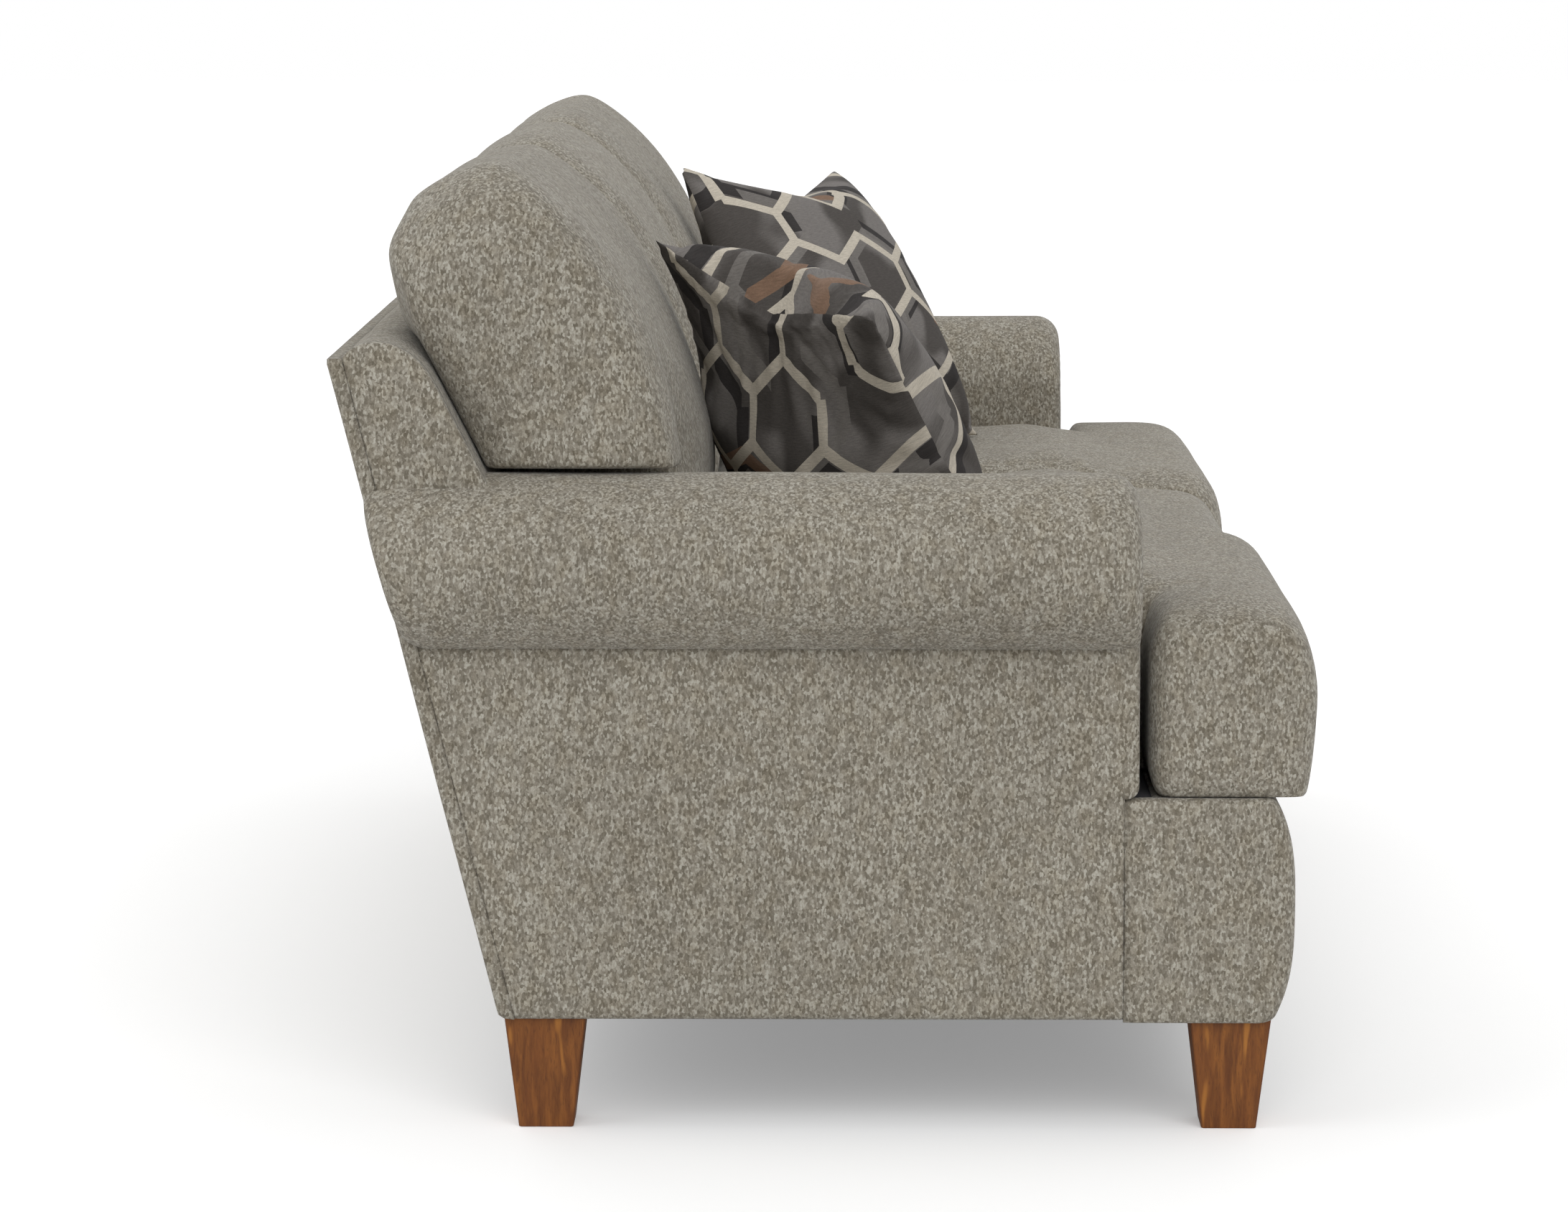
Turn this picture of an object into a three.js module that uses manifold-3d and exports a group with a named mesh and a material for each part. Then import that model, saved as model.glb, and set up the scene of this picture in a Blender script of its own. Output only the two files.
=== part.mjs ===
// Roll arm sofa: hardwood frame, sinuous spring seat, tight upholstery on frame and arms, loose
// seat cushions (a T cushion at each arm, a plain one between), loose back cushions, throw pillows.
// Millimetres. +Z up, +X to the right of someone who faces the back, the front towards -Y.
// "left" is the -X side. The origin is on the floor, in the middle of the whole sofa's box.

import * as THREE from 'three';
import { mergeVertices } from 'three/addons/utils/BufferGeometryUtils.js';
import Module from 'manifold-3d';

const wasm = await Module();
wasm.setup();

// Gaps
const fit = 0.3; // between two pieces that are fixed to each other
const softGap = 0.6; // round a loose cushion
const overrun = 20; // how far a cutter reaches past what it cuts

// Whole sofa
const sofaWidth = 2240; // over both arm rolls
const sofaDepth = 968.6; // from the cushion's nose to the rear top corner
const seatCount = 3;
const degree = Math.PI / 180;

// Legs
const legHeight = 112.7;
const legTopWidth = 80;
const legFootWidth = 54;
const legSides = 4;
const legOuterInset = 10; // from the outer arm panel's face to the leg's outer face
const legFrontSetback = 48; // from the cushion's nose to the leg's front face
const legRearSetback = 2; // from the base's rear bottom edge to the leg's rear face

// Hanger bolts, which screw into the legs and pass through the corner blocks
const boltRadius = 4;
const boltInLeg = 45;
const boltAboveBlock = 8;
const boltInset = 14; // the bolt stands this far inboard of the leg's middle, clear of the rails
const boltSides = 10;

// Upholstery thickness
const coverPad = 14; // padded cover on the outer panels, facings and inside arms
const outsideBackThickness = 12;
const dustCoverThickness = 2;

// Base
const deckHeight = 333; // floor to the top of the seat deck
const deckThickness = 10;
const borderSetback = 47; // from the cushion's nose to the front border's top edge
const borderBow = 19; // how far the front border swells at mid height
const borderSteps = 6;

// Back
const backHeight = 764; // floor to the rear top corner
const backTopDepth = 90; // from the rear top corner forward to the inside back
const crestRise = 17.5; // the padded top above the rear top corner
const insideRake = 27 * degree;
const outsideRake = 14.1 * degree;
const backPadThickness = 40;
const topPadThickness = 20;
const webbingThickness = 2;
const webbingWidth = 50;
const webbingUprights = 7;
const webbingCrossStraps = 2;

// Arms
const backAboveArm = 116; // from the top of the roll up to the rear top corner
const armHeight = backHeight - backAboveArm;
const armRollWidth = 220;
const armRollHeight = 176;
const rollOverhang = 60; // the roll past the outer arm panel
const rollSegments = 16;
const armBoardWidth = 160;
const armBoardThickness = 25;
const armBoardDrop = 78; // from the top of the roll to the top of the board
const facingBevel = 5;

// Frame timber
const boardThickness = 25;
const sideRailHeight = 190;
const postFootDepth = 86; // the back post's foot, from its front edge to the rear rail's rear face
const stretcherHeight = 90;
const stretcherDrop = 18; // below the rail tops, clear of the springs
const blockLeg = 98;
const blockHeight = 45;
const lowerRailHeight = 45;
const topRailHeight = 70;

// Seat springs
const springCount = 9;
const springWire = 4;
const springSwing = 50;
const springBends = 12;
const springStepsPerBend = 3;
const springArch = 10;
const springSides = 4;
const springEnd = 18; // how far the ends lie on the rails

// Seat cushions
const earDepth = 170; // the T cushion's ear in front of the arm
const earGap = 10; // between the ear and the arm's front
const earOverhang = 10; // the ear past the outer arm panel
const seatEdgeHeight = 150; // between the two seams of the boxing
const seatCrown = 36;
const seatCrownReach = 150; // from the seam to where the crown is full
const seatBulge = 24; // how far the boxing swells past its seams
const seatCornerRadius = 45;
const coreInset = 34; // from the cushion's widest line to the foam core
const coreWrap = 8; // wadding and cover under and over the core's edge
const seatCellsAcross = 8;
const seatCellsDeep = 9;
const earCells = 4; // across the ear, and from its front to its rear
const behindEarCells = 7;
const zipSlotHeight = 8;
const zipSlotLength = 420;

// Back cushions
const backCushionHeight = 415; // along the rake, at the rear face
const backCushionDepth = 218; // square to the rake, at the fullest
const backEdgeRear = 30; // from the rear face to the rear seam
const backEdgeFront = 185; // from the rear face to the front seam
const backCrownReach = 190;
const backRearReach = 110;
const backBulge = 24;
const backCornerRadius = 95;
const backFootRadius = 30;
const backFootThinning = 50; // how much less deep the foot is
const backFullHeight = 262; // from the foot to where the cushion is full, along the rake
const backEarReach = 130; // how far an end cushion reaches out over its arm
const backEarGap = 3; // between the roll's top and the ear
const backEarRadius = 24;
const backEarCells = 4;
const backBesideArmCells = 5; // from the foot to the ear
const boxingFullness = 0.7; // exponent of the boxing's swell: under 1 it is fuller than a sine
const boxingRings = 3;
const backCushionCells = 8; // across and up
const seamCrowding = 0.75; // how much closer the cells lie near a seam

// Throw pillows
const pillowSize = 400;
const pillowThickness = 125;
const pillowDrawnInShare = 0.09; // how far the middle of a side is drawn in
const pillowGap = 16; // from the back cushion's fullest plane to the pillow's top rear corner
const pillowAnchorShare = 0.555; // of the distance from the middle of the sofa to the arm
const pillowFullness = 0.6; // exponent of the thickness towards the edges
const pillowCells = 8;
const pillowCrowding = 0.4;

// Places that follow from the sizes above
const noseY = -sofaDepth / 2;
const rearTopY = sofaDepth / 2;
const outerX = sofaWidth / 2 - rollOverhang;
const innerX = sofaWidth / 2 - armRollWidth;
const panelInnerX = outerX - coverPad - fit;
const rollX = sofaWidth / 2 - armRollWidth / 2;
const rollZ = armHeight - armRollHeight / 2;
const armFrontY = noseY + earDepth + earGap;
const facingRearY = armFrontY + coverPad;
const borderY = noseY + borderSetback;
const borderInnerY = borderY + coverPad;
const baseBottom = legHeight + fit;
const frameBottom = baseBottom + dustCoverThickness + fit;
const railTop = deckHeight - deckThickness - springArch - springWire - 2 * fit;
const deckBottom = deckHeight - deckThickness;
const railOuterX = panelInnerX;
const railInnerX = railOuterX - boardThickness;
const frontRailRearY = borderInnerY + fit + boardThickness;
const seatWidth = 2 * innerX / seatCount;

const outsideBackY = (z) => rearTopY - Math.tan(outsideRake) * (backHeight - z);
const insideBackY = (z) => rearTopY - backTopDepth - Math.tan(insideRake) * (backHeight - z);
const behindCoverY = (z) => outsideBackY(z) - outsideBackThickness / Math.cos(outsideRake) - fit;
const padRearY = (z) => insideBackY(z) + backPadThickness / Math.cos(insideRake);
const webbingRearY = (z) => padRearY(z) + fit + webbingThickness / Math.cos(insideRake);
const frameFrontY = (z) => webbingRearY(z) + fit;

const rearRailRearY = behindCoverY(frameBottom) - fit;
const rearRailFrontY = rearRailRearY - boardThickness;

// The height of the roll's skin at a distance x from the middle of the sofa
function rollTopZ(x) {
  const across = (x - rollX) / (armRollWidth / 2);
  return rollZ + armRollHeight / 2 * Math.sqrt(1 - across * across);
}

const creaseAngle = Math.acos((outerX - rollX) / (armRollWidth / 2));
const creaseZ = rollZ - armRollHeight / 2 * Math.sin(creaseAngle);

// Finishes
function finish(color, roughness, metalness = 0) {
  return new THREE.MeshStandardMaterial({ color, roughness, metalness });
}

const chenille = finish(0x8d877a, 0.95);
const print = finish(0x55504b, 0.9);
const foam = finish(0xe9e2c8, 0.95);
const stainedWood = finish(0x7b4e2b, 0.5);
const rawWood = finish(0xc9a878, 0.8);
const lining = finish(0x2b2b2d, 0.95);
const webbingJute = finish(0xa98f63, 0.95);
const springSteel = finish(0x70737a, 0.35, 1);
const boltSteel = finish(0xb9bcc2, 0.3, 1);

const sofa = new THREE.Group();

function add(name, geometry, material) {
  const mesh = new THREE.Mesh(geometry, material);
  mesh.name = name;
  sofa.add(mesh);
}

// Geometry without normals and texture coordinates, with its shared corners joined
function welded(geometry) {
  const bare = geometry.clone();
  bare.deleteAttribute('normal');
  bare.deleteAttribute('uv');
  return mergeVertices(bare);
}

// The same piece on the other side of the sofa
function mirrored(geometry) {
  const twin = welded(geometry).scale(-1, 1, 1);
  const order = twin.index.array;
  for (let i = 0; i < order.length; i += 3) {
    [order[i + 1], order[i + 2]] = [order[i + 2], order[i + 1]];
  }
  return twin;
}

// Adds a piece that was drawn for the right side, and its mirrored twin on the left
function addPair(name, geometry, material) {
  add(`${name}_left`, mirrored(geometry), material);
  add(`${name}_right`, geometry, material);
}

function block([x0, x1], [y0, y1], [z0, z1]) {
  const box = new THREE.BoxGeometry(x1 - x0, y1 - y0, z1 - z0);
  return box.translate((x0 + x1) / 2, (y0 + y1) / 2, (z0 + z1) / 2);
}

function outlineShape(points, holes = []) {
  const shape = new THREE.Shape(points.map(([a, b]) => new THREE.Vector2(a, b)));
  shape.holes = holes.map((hole) => new THREE.Path(hole.map(([a, b]) => new THREE.Vector2(a, b))));
  return shape;
}

// An outline of [y, z] points drawn out from x0 to x1
function alongX(points, x0, x1) {
  const axes = [new THREE.Vector3(0, 1, 0), new THREE.Vector3(0, 0, 1), new THREE.Vector3(1, 0, 0)];
  const solid = new THREE.ExtrudeGeometry(outlineShape(points), { depth: x1 - x0, bevelEnabled: false });
  return solid.applyMatrix4(new THREE.Matrix4().makeBasis(...axes)).translate(x0, 0, 0);
}

// An outline of [x, z] points drawn out from y0 to y1, with its edges eased where a bevel is given
function alongY(points, y0, y1, bevel = 0) {
  const settings = { depth: y1 - y0, bevelEnabled: false };
  if (bevel > 0) {
    Object.assign(settings, { depth: y1 - y0 - 2 * bevel, bevelEnabled: true, bevelSegments: 1 });
    Object.assign(settings, { bevelThickness: bevel, bevelSize: bevel, bevelOffset: -bevel });
  }
  const solid = new THREE.ExtrudeGeometry(outlineShape(points), settings);
  return solid.rotateX(Math.PI / 2).translate(0, y1 - bevel, 0);
}

// An outline of [x, y] points drawn up from z0 to z1
function alongZ(points, z0, z1, holes = [], steps = 1) {
  const settings = { depth: z1 - z0, bevelEnabled: false, steps };
  return new THREE.ExtrudeGeometry(outlineShape(points, holes), settings).translate(0, 0, z0);
}

function circle(x, y, radius, sides) {
  return Array.from({ length: sides }, (_, i) => {
    const turn = 2 * Math.PI * i / sides;
    return [x + radius * Math.cos(turn), y + radius * Math.sin(turn)];
  });
}

function toSolid(geometry) {
  const { attributes, index } = welded(geometry);
  const vertProperties = attributes.position.array;
  const triVerts = new Uint32Array(index.array);
  return new wasm.Manifold(new wasm.Mesh({ numProp: 3, vertProperties, triVerts }));
}

function fromSolid(solid) {
  const { vertProperties, triVerts } = solid.getMesh();
  const geometry = new THREE.BufferGeometry();
  geometry.setAttribute('position', new THREE.BufferAttribute(vertProperties, 3));
  geometry.setIndex(new THREE.BufferAttribute(triVerts, 1));
  return geometry;
}

// A piece with each of the tools cut away
function cut(geometry, ...tools) {
  return fromSolid(tools.reduce((solid, tool) => solid.subtract(toSolid(tool)), toSolid(geometry)));
}

// Legs, bolts and corner blocks: each corner of the base, drawn on the right side
const legX = outerX - legOuterInset - legTopWidth / 2;
const corners = [
  { end: 'front', y: noseY + legFrontSetback + legTopWidth / 2, inward: 1, railY: frontRailRearY + fit },
  {
    end: 'rear',
    y: outsideBackY(baseBottom) - legRearSetback - legTopWidth / 2,
    inward: -1,
    railY: rearRailFrontY - fit,
  },
];
const boltX = legX - boltInset;
const boltY = ({ y, inward }) => y + inward * boltInset;

for (const corner of corners) {
  const [topRadius, footRadius] = [legTopWidth, legFootWidth].map((width) => width / Math.SQRT2);
  const taper = new THREE.CylinderGeometry(topRadius, footRadius, legHeight, legSides);
  const square = taper.rotateY(Math.PI / legSides).rotateX(Math.PI / 2);
  const leg = square.translate(legX, corner.y, legHeight / 2);
  const bore = circle(boltX, boltY(corner), boltRadius + fit, boltSides);
  const legBore = alongZ(bore, legHeight - boltInLeg - fit, legHeight + overrun);
  addPair(`leg_${corner.end}`, cut(leg, legBore), stainedWood);

  const shank = circle(boltX, boltY(corner), boltRadius, boltSides);
  const bolt = alongZ(shank, legHeight - boltInLeg, frameBottom + blockHeight + boltAboveBlock);
  addPair(`hanger_bolt_${corner.end}`, bolt, boltSteel);

  const cornerX = railInnerX - fit;
  const triangle = [
    [cornerX, corner.railY],
    [cornerX, corner.railY + corner.inward * blockLeg],
    [cornerX - blockLeg, corner.railY],
  ];
  const cornerBlock = alongZ(triangle, frameBottom, frameBottom + blockHeight, [bore]);
  addPair(`corner_block_${corner.end}`, cornerBlock, rawWood);
}

// Base rails
const frameRails = [borderInnerY + fit, frontRailRearY];
add('front_rail', block([-railOuterX, railOuterX], frameRails, [frameBottom, railTop]), rawWood);
const rearRails = [rearRailFrontY, rearRailRearY];
const betweenPosts = [-railInnerX + fit, railInnerX - fit];
add('rear_rail', block(betweenPosts, rearRails, [frameBottom, railTop]), rawWood);

// The back posts' front edge follows the webbing down to the deck, then turns to the foot, which
// stands on the base behind the side rail
const postFootY = rearRailRearY - postFootDepth;
const sideRailTop = frameBottom + sideRailHeight;
const sideRails = [frontRailRearY + fit, postFootY - fit];
const sideRail = block([railInnerX, railOuterX], sideRails, [frameBottom, sideRailTop]);
addPair('side_rail', sideRail, rawWood);

const stretcherTop = railTop - stretcherDrop;
const stretcher = block([seatWidth / 2 - boardThickness / 2, seatWidth / 2 + boardThickness / 2],
  [frontRailRearY + fit, rearRailFrontY - fit], [stretcherTop - stretcherHeight, stretcherTop]);
addPair('seat_stretcher', stretcher, rawWood);

// Arm frame: a post behind the facing and a board inside the roll
const armBoardTop = armHeight - armBoardDrop;
const armBoardBottom = armBoardTop - armBoardThickness;
const boardX = [rollX - armBoardWidth / 2, rollX + armBoardWidth / 2];
const armFrameFrontY = facingRearY + fit;
const armPostX = [innerX + coverPad + fit, railInnerX - fit];
const armPostY = [armFrameFrontY, armFrameFrontY + boardThickness];
addPair('arm_front_post', block(armPostX, armPostY, [frameBottom, armBoardBottom - fit]), rawWood);
// The board ends where the inside back starts
const armBoardY = [armFrameFrontY, insideBackY(armBoardBottom) - fit];
const armBoard = block(boardX, armBoardY, [armBoardBottom, armBoardTop]);
addPair('arm_top_board', armBoard, rawWood);

// Back frame
const postTop = backHeight - topPadThickness - fit;
const backPost = [
  [postFootY, frameBottom],
  [rearRailRearY, frameBottom],
  [behindCoverY(postTop) - fit, postTop],
  [frameFrontY(postTop), postTop],
  [frameFrontY(deckHeight), deckHeight],
  [postFootY, sideRailTop + fit],
];
addPair('back_post', alongX(backPost, railInnerX, railOuterX), rawWood);

const topRailBottom = postTop - topRailHeight;
const topRail = [
  [frameFrontY(topRailBottom), topRailBottom],
  [behindCoverY(topRailBottom) - fit, topRailBottom],
  [behindCoverY(postTop) - fit, postTop],
  [frameFrontY(postTop), postTop],
];
add('back_top_rail', alongX(topRail, ...betweenPosts), rawWood);
const lowerRailBottom = deckHeight + fit;
const lowerRailTop = lowerRailBottom + lowerRailHeight;
const lowerRail = [
  [frameFrontY(lowerRailBottom), lowerRailBottom],
  [frameFrontY(lowerRailTop) + boardThickness, lowerRailBottom],
  [frameFrontY(lowerRailTop) + boardThickness, lowerRailTop],
  [frameFrontY(lowerRailTop), lowerRailTop],
];
add('back_lower_rail', alongX(lowerRail, ...betweenPosts), rawWood);

// Sinuous springs: a wire that swings from side to side on its way from the front rail to the rear rail
class SinuousWire extends THREE.Curve {
  constructor(x, frontY, rearY, z) {
    super();
    Object.assign(this, { x, frontY, rearY, z });
  }

  getPoint(t) {
    const y = this.frontY + (this.rearY - this.frontY) * t;
    const swing = springSwing / 2 * Math.sin(Math.PI * springBends * t);
    const bow = springArch * Math.sin(Math.PI * t);
    return new THREE.Vector3(this.x + swing, y, this.z + bow);
  }
}

const springZ = railTop + fit + springWire / 2;
const springFrontY = frontRailRearY - springEnd;
const springRearY = rearRailFrontY + springEnd;
for (let i = 0; i < springCount; i += 1) {
  const x = 2 * innerX * ((i + 0.5) / springCount - 0.5);
  const wire = outlineShape(circle(0, 0, springWire / 2, springSides));
  const extrudePath = new SinuousWire(x, springFrontY, springRearY, springZ);
  const steps = springBends * springStepsPerBend;
  const spring = new THREE.ExtrudeGeometry(wire, { steps, extrudePath });
  add(`seat_spring_${i + 1}`, spring, springSteel);
}

// Back webbing: one lattice of straps, stapled to the lower and the top rail
const webbingBottom = deckHeight + fit + webbingThickness * Math.sin(insideRake);
const webbingRise = (postTop - webbingBottom) / Math.cos(insideRake);
const webbingSpan = 2 * (railInnerX - fit);
const straps = [];
for (let i = 0; i < webbingUprights; i += 1) {
  const x = (webbingSpan - webbingWidth) * (i / (webbingUprights - 1) - 1 / 2);
  const strapX = [x - webbingWidth / 2, x + webbingWidth / 2];
  straps.push(block(strapX, [0, webbingRise], [-webbingThickness, 0]));
}
for (let k = 0; k < webbingCrossStraps; k += 1) {
  const y = (webbingRise - webbingWidth) * (k + 1) / (webbingCrossStraps + 1);
  straps.push(block([-webbingSpan / 2, webbingSpan / 2], [y, y + webbingWidth], [-webbingThickness, 0]));
}
const webbing = fromSolid(straps.map(toSolid).reduce((lattice, strap) => lattice.add(strap)));
webbing.rotateX(Math.PI / 2 - insideRake).translate(0, padRearY(webbingBottom) + fit, webbingBottom);
add('back_webbing', webbing, webbingJute);

// Seat deck: a T, wider in front of the arms
const deckRearY = rearRailRearY;
const deckOutline = [
  [-panelInnerX, borderInnerY + fit], [panelInnerX, borderInnerY + fit], [panelInnerX, facingRearY],
  [innerX + coverPad, facingRearY], [innerX + coverPad, deckRearY],
  [-innerX - coverPad, deckRearY], [-innerX - coverPad, facingRearY], [-panelInnerX, facingRearY],
];
add('seat_deck', alongZ(deckOutline, deckBottom, deckHeight), lining);

// Front border: a band that swells at mid height and wraps round both front corners
const borderOutline = [
  [-outerX, facingRearY], [-outerX, borderY], [outerX, borderY], [outerX, facingRearY],
  [outerX - coverPad, facingRearY], [outerX - coverPad, borderInnerY],
  [-outerX + coverPad, borderInnerY], [-outerX + coverPad, facingRearY],
];
const border = alongZ(borderOutline, baseBottom, deckHeight, [], borderSteps);
const borderCorners = border.attributes.position;
for (let i = 0; i < borderCorners.count; i += 1) {
  const rise = (borderCorners.getZ(i) - baseBottom) / (deckHeight - baseBottom);
  if (borderCorners.getY(i) < borderInnerY) {
    borderCorners.setY(i, borderCorners.getY(i) - borderBow * Math.sin(Math.PI * rise));
  }
}
add('front_border', border, chenille);

// Outer arm panels, from the base to the crease under the roll
const outerPanel = [
  [armFrameFrontY, baseBottom],
  [behindCoverY(baseBottom), baseBottom],
  [behindCoverY(creaseZ - fit), creaseZ - fit],
  [armFrameFrontY, creaseZ - fit],
];
addPair('outer_arm_panel', alongX(outerPanel, outerX - coverPad, outerX), chenille);

// The roll's skin from the inner arm, over the top, to the crease above the outer panel
const rollArc = Array.from({ length: rollSegments + 1 }, (_, i) => {
  const turn = Math.PI - (Math.PI + creaseAngle) * i / rollSegments;
  return [rollX + armRollWidth / 2 * Math.cos(turn), rollZ + armRollHeight / 2 * Math.sin(turn)];
});

// Arm facing, over the post and the open end of the roll
const facingOutline = [[innerX, deckHeight + fit], ...rollArc, [outerX, deckHeight + fit]];
addPair('arm_facing', alongY(facingOutline, armFrontY, facingRearY, facingBevel), chenille);

// Inside arm: one hook shaped pad up the inner face, over the board and down to the outer panel
const insideArmSection = [
  [innerX, deckHeight + fit],
  ...rollArc,
  [outerX - coverPad, creaseZ],
  [outerX - coverPad, armBoardBottom - fit],
  [innerX + coverPad, armBoardBottom - fit],
  [innerX + coverPad, deckHeight + fit],
];
const armPad = alongY(insideArmSection, armFrameFrontY, rearTopY);
const pocketX = [boardX[0] - fit, boardX[1] + fit];
const pocketZ = [armBoardBottom - fit - overrun, armBoardTop + fit];
const boardPocket = block(pocketX, [armFrontY, insideBackY(armBoardBottom)], pocketZ);
// The pad stops at the inside back, and only its outer part runs on beside the back frame
const low = baseBottom - overrun;
const high = backHeight + overrun;
const farY = rearTopY + overrun;
const behind = (faceY) => [[faceY(low), low], [farY, low], [farY, high], [faceY(high), high]];
const armPadCut = cut(
  armPad,
  boardPocket,
  alongX(behind((z) => insideBackY(z) - fit), 0, panelInnerX + fit),
  alongX(behind(behindCoverY), 0, outerX + fit),
  alongX(behind(outsideBackY), 0, sofaWidth),
);
addPair('inside_arm', armPadCut, chenille);

// Back: the top's outline, from the inside back over the crest to the rear corner
const crestShares = [[0, 0], [0.05, 0.5], [0.18, 0.88], [0.4, 1], [0.7, 0.75]];
const crest = crestShares.map(([along, up]) => [
  rearTopY - backTopDepth * (1 - along), backHeight + crestRise * up,
]);
const sidePanelBottom = rollTopZ(outerX - coverPad) + fit;
const backSidePanel = [
  [insideBackY(sidePanelBottom), sidePanelBottom],
  [behindCoverY(sidePanelBottom), sidePanelBottom],
  [behindCoverY(backHeight), backHeight],
  ...crest.toReversed(),
];
addPair('back_side_panel', alongX(backSidePanel, outerX - coverPad, outerX), chenille);

const insidePad = [
  [insideBackY(deckHeight + fit), deckHeight + fit],
  [padRearY(deckHeight + fit), deckHeight + fit],
  [padRearY(postTop + fit), postTop + fit],
  [behindCoverY(postTop + fit), postTop + fit],
  [behindCoverY(backHeight), backHeight],
  ...crest.toReversed(),
];
add('inside_back_pad', alongX(insidePad, -panelInnerX, panelInnerX), chenille);

const outsidePanel = [
  [behindCoverY(baseBottom) + fit, baseBottom],
  [outsideBackY(baseBottom), baseBottom],
  [outsideBackY(backHeight), backHeight],
  [behindCoverY(backHeight) + fit, backHeight],
];
add('outside_back_panel', alongX(outsidePanel, -outerX, outerX), chenille);

// Dust cover, stapled under the rails and pierced by the bolts
const dustOutline = [
  [-panelInnerX, borderInnerY + fit], [panelInnerX, borderInnerY + fit],
  [panelInnerX, behindCoverY(baseBottom) - fit], [-panelInnerX, behindCoverY(baseBottom) - fit],
];
const boltHoles = corners.flatMap((corner) => [-1, 1].map((side) => (
  circle(side * boltX, boltY(corner), boltRadius + fit, boltSides)
)));
add('dust_cover', alongZ(dustOutline, baseBottom, baseBottom + dustCoverThickness, boltHoles), lining);

// Grid positions over a span, closer together near its ends, where a stuffed surface turns most
function gridLines(from, to, cells, crowding = seamCrowding) {
  return Array.from({ length: cells + 1 }, (_, i) => {
    const t = i / cells;
    return from + (to - from) * (t - crowding * Math.sin(2 * Math.PI * t) / (2 * Math.PI));
  });
}

// Least distance from a point to the sides of an outline
function edgeDistance(outline, x, y) {
  return Math.min(...outline.map(([ax, ay], i) => {
    const [bx, by] = outline[(i + 1) % outline.length];
    const span = (bx - ax) ** 2 + (by - ay) ** 2;
    const along = THREE.MathUtils.clamp(((x - ax) * (bx - ax) + (y - ay) * (by - ay)) / span, 0, 1);
    return Math.hypot(x - ax - along * (bx - ax), y - ay - along * (by - ay));
  }));
}

// From 0 at a seam to 1 at the reach, steep at first, as a stuffed cover rises from its seam
const swell = (distance, reach) => Math.sqrt(1 - (1 - Math.min(distance / reach, 1)) ** 2);

// Draws a square corner of a plan in to a round one. outX and outY are 1 or -1, towards the corner
function roundCorner([x, y], { cornerX, cornerY, outX, outY, radius }) {
  const u = (x - cornerX) * outX / radius + 1;
  const v = (y - cornerY) * outY / radius + 1;
  if (u <= 0 || v <= 0) return [x, y];
  return [
    cornerX + outX * radius * (u * Math.sqrt(1 - v * v / 2) - 1),
    cornerY + outY * radius * (v * Math.sqrt(1 - u * u / 2) - 1),
  ];
}

// A closed stuffed form on a grid of cells: an under skin, an upper skin and a boxing wall between
// their edges, or a knife edge where there are no wall rings. place() takes it to the sofa's frame.
function stuffedForm({ xs, ys, holds = () => true, under, upper, rings, bulge, rounded = [], place }) {
  const points = [];
  const faces = [];
  const held = (i, j) => i >= 0 && j >= 0 && i < xs.length - 1 && j < ys.length - 1
    && holds((xs[i] + xs[i + 1]) / 2, (ys[j] + ys[j + 1]) / 2);
  const put = (x, y, z) => points.push(place(x, y, z)) - 1;
  const spots = new Map();
  const spot = (i, j) => {
    const name = `${i},${j}`;
    if (!spots.has(name)) {
      const [x, y] = rounded.reduce(roundCorner, [xs[i], ys[j]]);
      spots.set(name, { x, y, low: under(xs[i], ys[j]), high: upper(xs[i], ys[j]), outX: 0, outY: 0 });
    }
    return spots.get(name);
  };
  const quad = (a, b, c, d) => faces.push(a, b, c, a, c, d);
  const rim = [];
  const cells = [];
  for (let i = 0; i < xs.length - 1; i += 1) {
    for (let j = 0; j < ys.length - 1; j += 1) {
      if (!held(i, j)) continue;
      const ring = [[i, j], [i + 1, j], [i + 1, j + 1], [i, j + 1]].map(([a, b]) => spot(a, b));
      cells.push(ring);
      [[0, -1], [1, 0], [0, 1], [-1, 0]].forEach(([di, dj], side) => {
        if (held(i + di, j + dj)) return;
        const pair = [ring[side], ring[(side + 1) % 4]];
        rim.push(pair);
        pair.forEach((end) => {
          end.outX += di;
          end.outY += dj;
        });
      });
    }
  }
  for (const at of spots.values()) {
    const onRim = at.outX !== 0 || at.outY !== 0;
    at.column = [put(at.x, at.y, at.low)];
    if (onRim) {
      const length = Math.hypot(at.outX, at.outY);
      for (let k = 1; k <= rings; k += 1) {
        const rise = k / (rings + 1);
        const out = bulge * Math.sin(Math.PI * rise) ** boxingFullness / length;
        const level = at.low + (at.high - at.low) * rise;
        at.column.push(put(at.x + at.outX * out, at.y + at.outY * out, level));
      }
    }
    if (rings > 0 || !onRim) at.column.push(put(at.x, at.y, at.high));
  }
  const last = (at) => at.column[at.column.length - 1];
  // A cell splits along the diagonal that meets the plan's corner, or a knife edge would lose it
  const isCorner = (at) => at.outX !== 0 && at.outY !== 0;
  for (const cell of cells) {
    const [a, b, c, d] = isCorner(cell[1]) || isCorner(cell[3]) ? [...cell.slice(1), cell[0]] : cell;
    quad(last(a), last(b), last(c), last(d));
    quad(a.column[0], d.column[0], c.column[0], b.column[0]);
  }
  for (const [a, b] of rim) {
    for (let k = 0; k + 1 < a.column.length; k += 1) {
      quad(a.column[k], b.column[k], b.column[k + 1], a.column[k + 1]);
    }
  }
  const geometry = new THREE.BufferGeometry();
  geometry.setAttribute('position', new THREE.Float32BufferAttribute(points.flat(), 3));
  geometry.setIndex(faces);
  return geometry;
}

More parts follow.
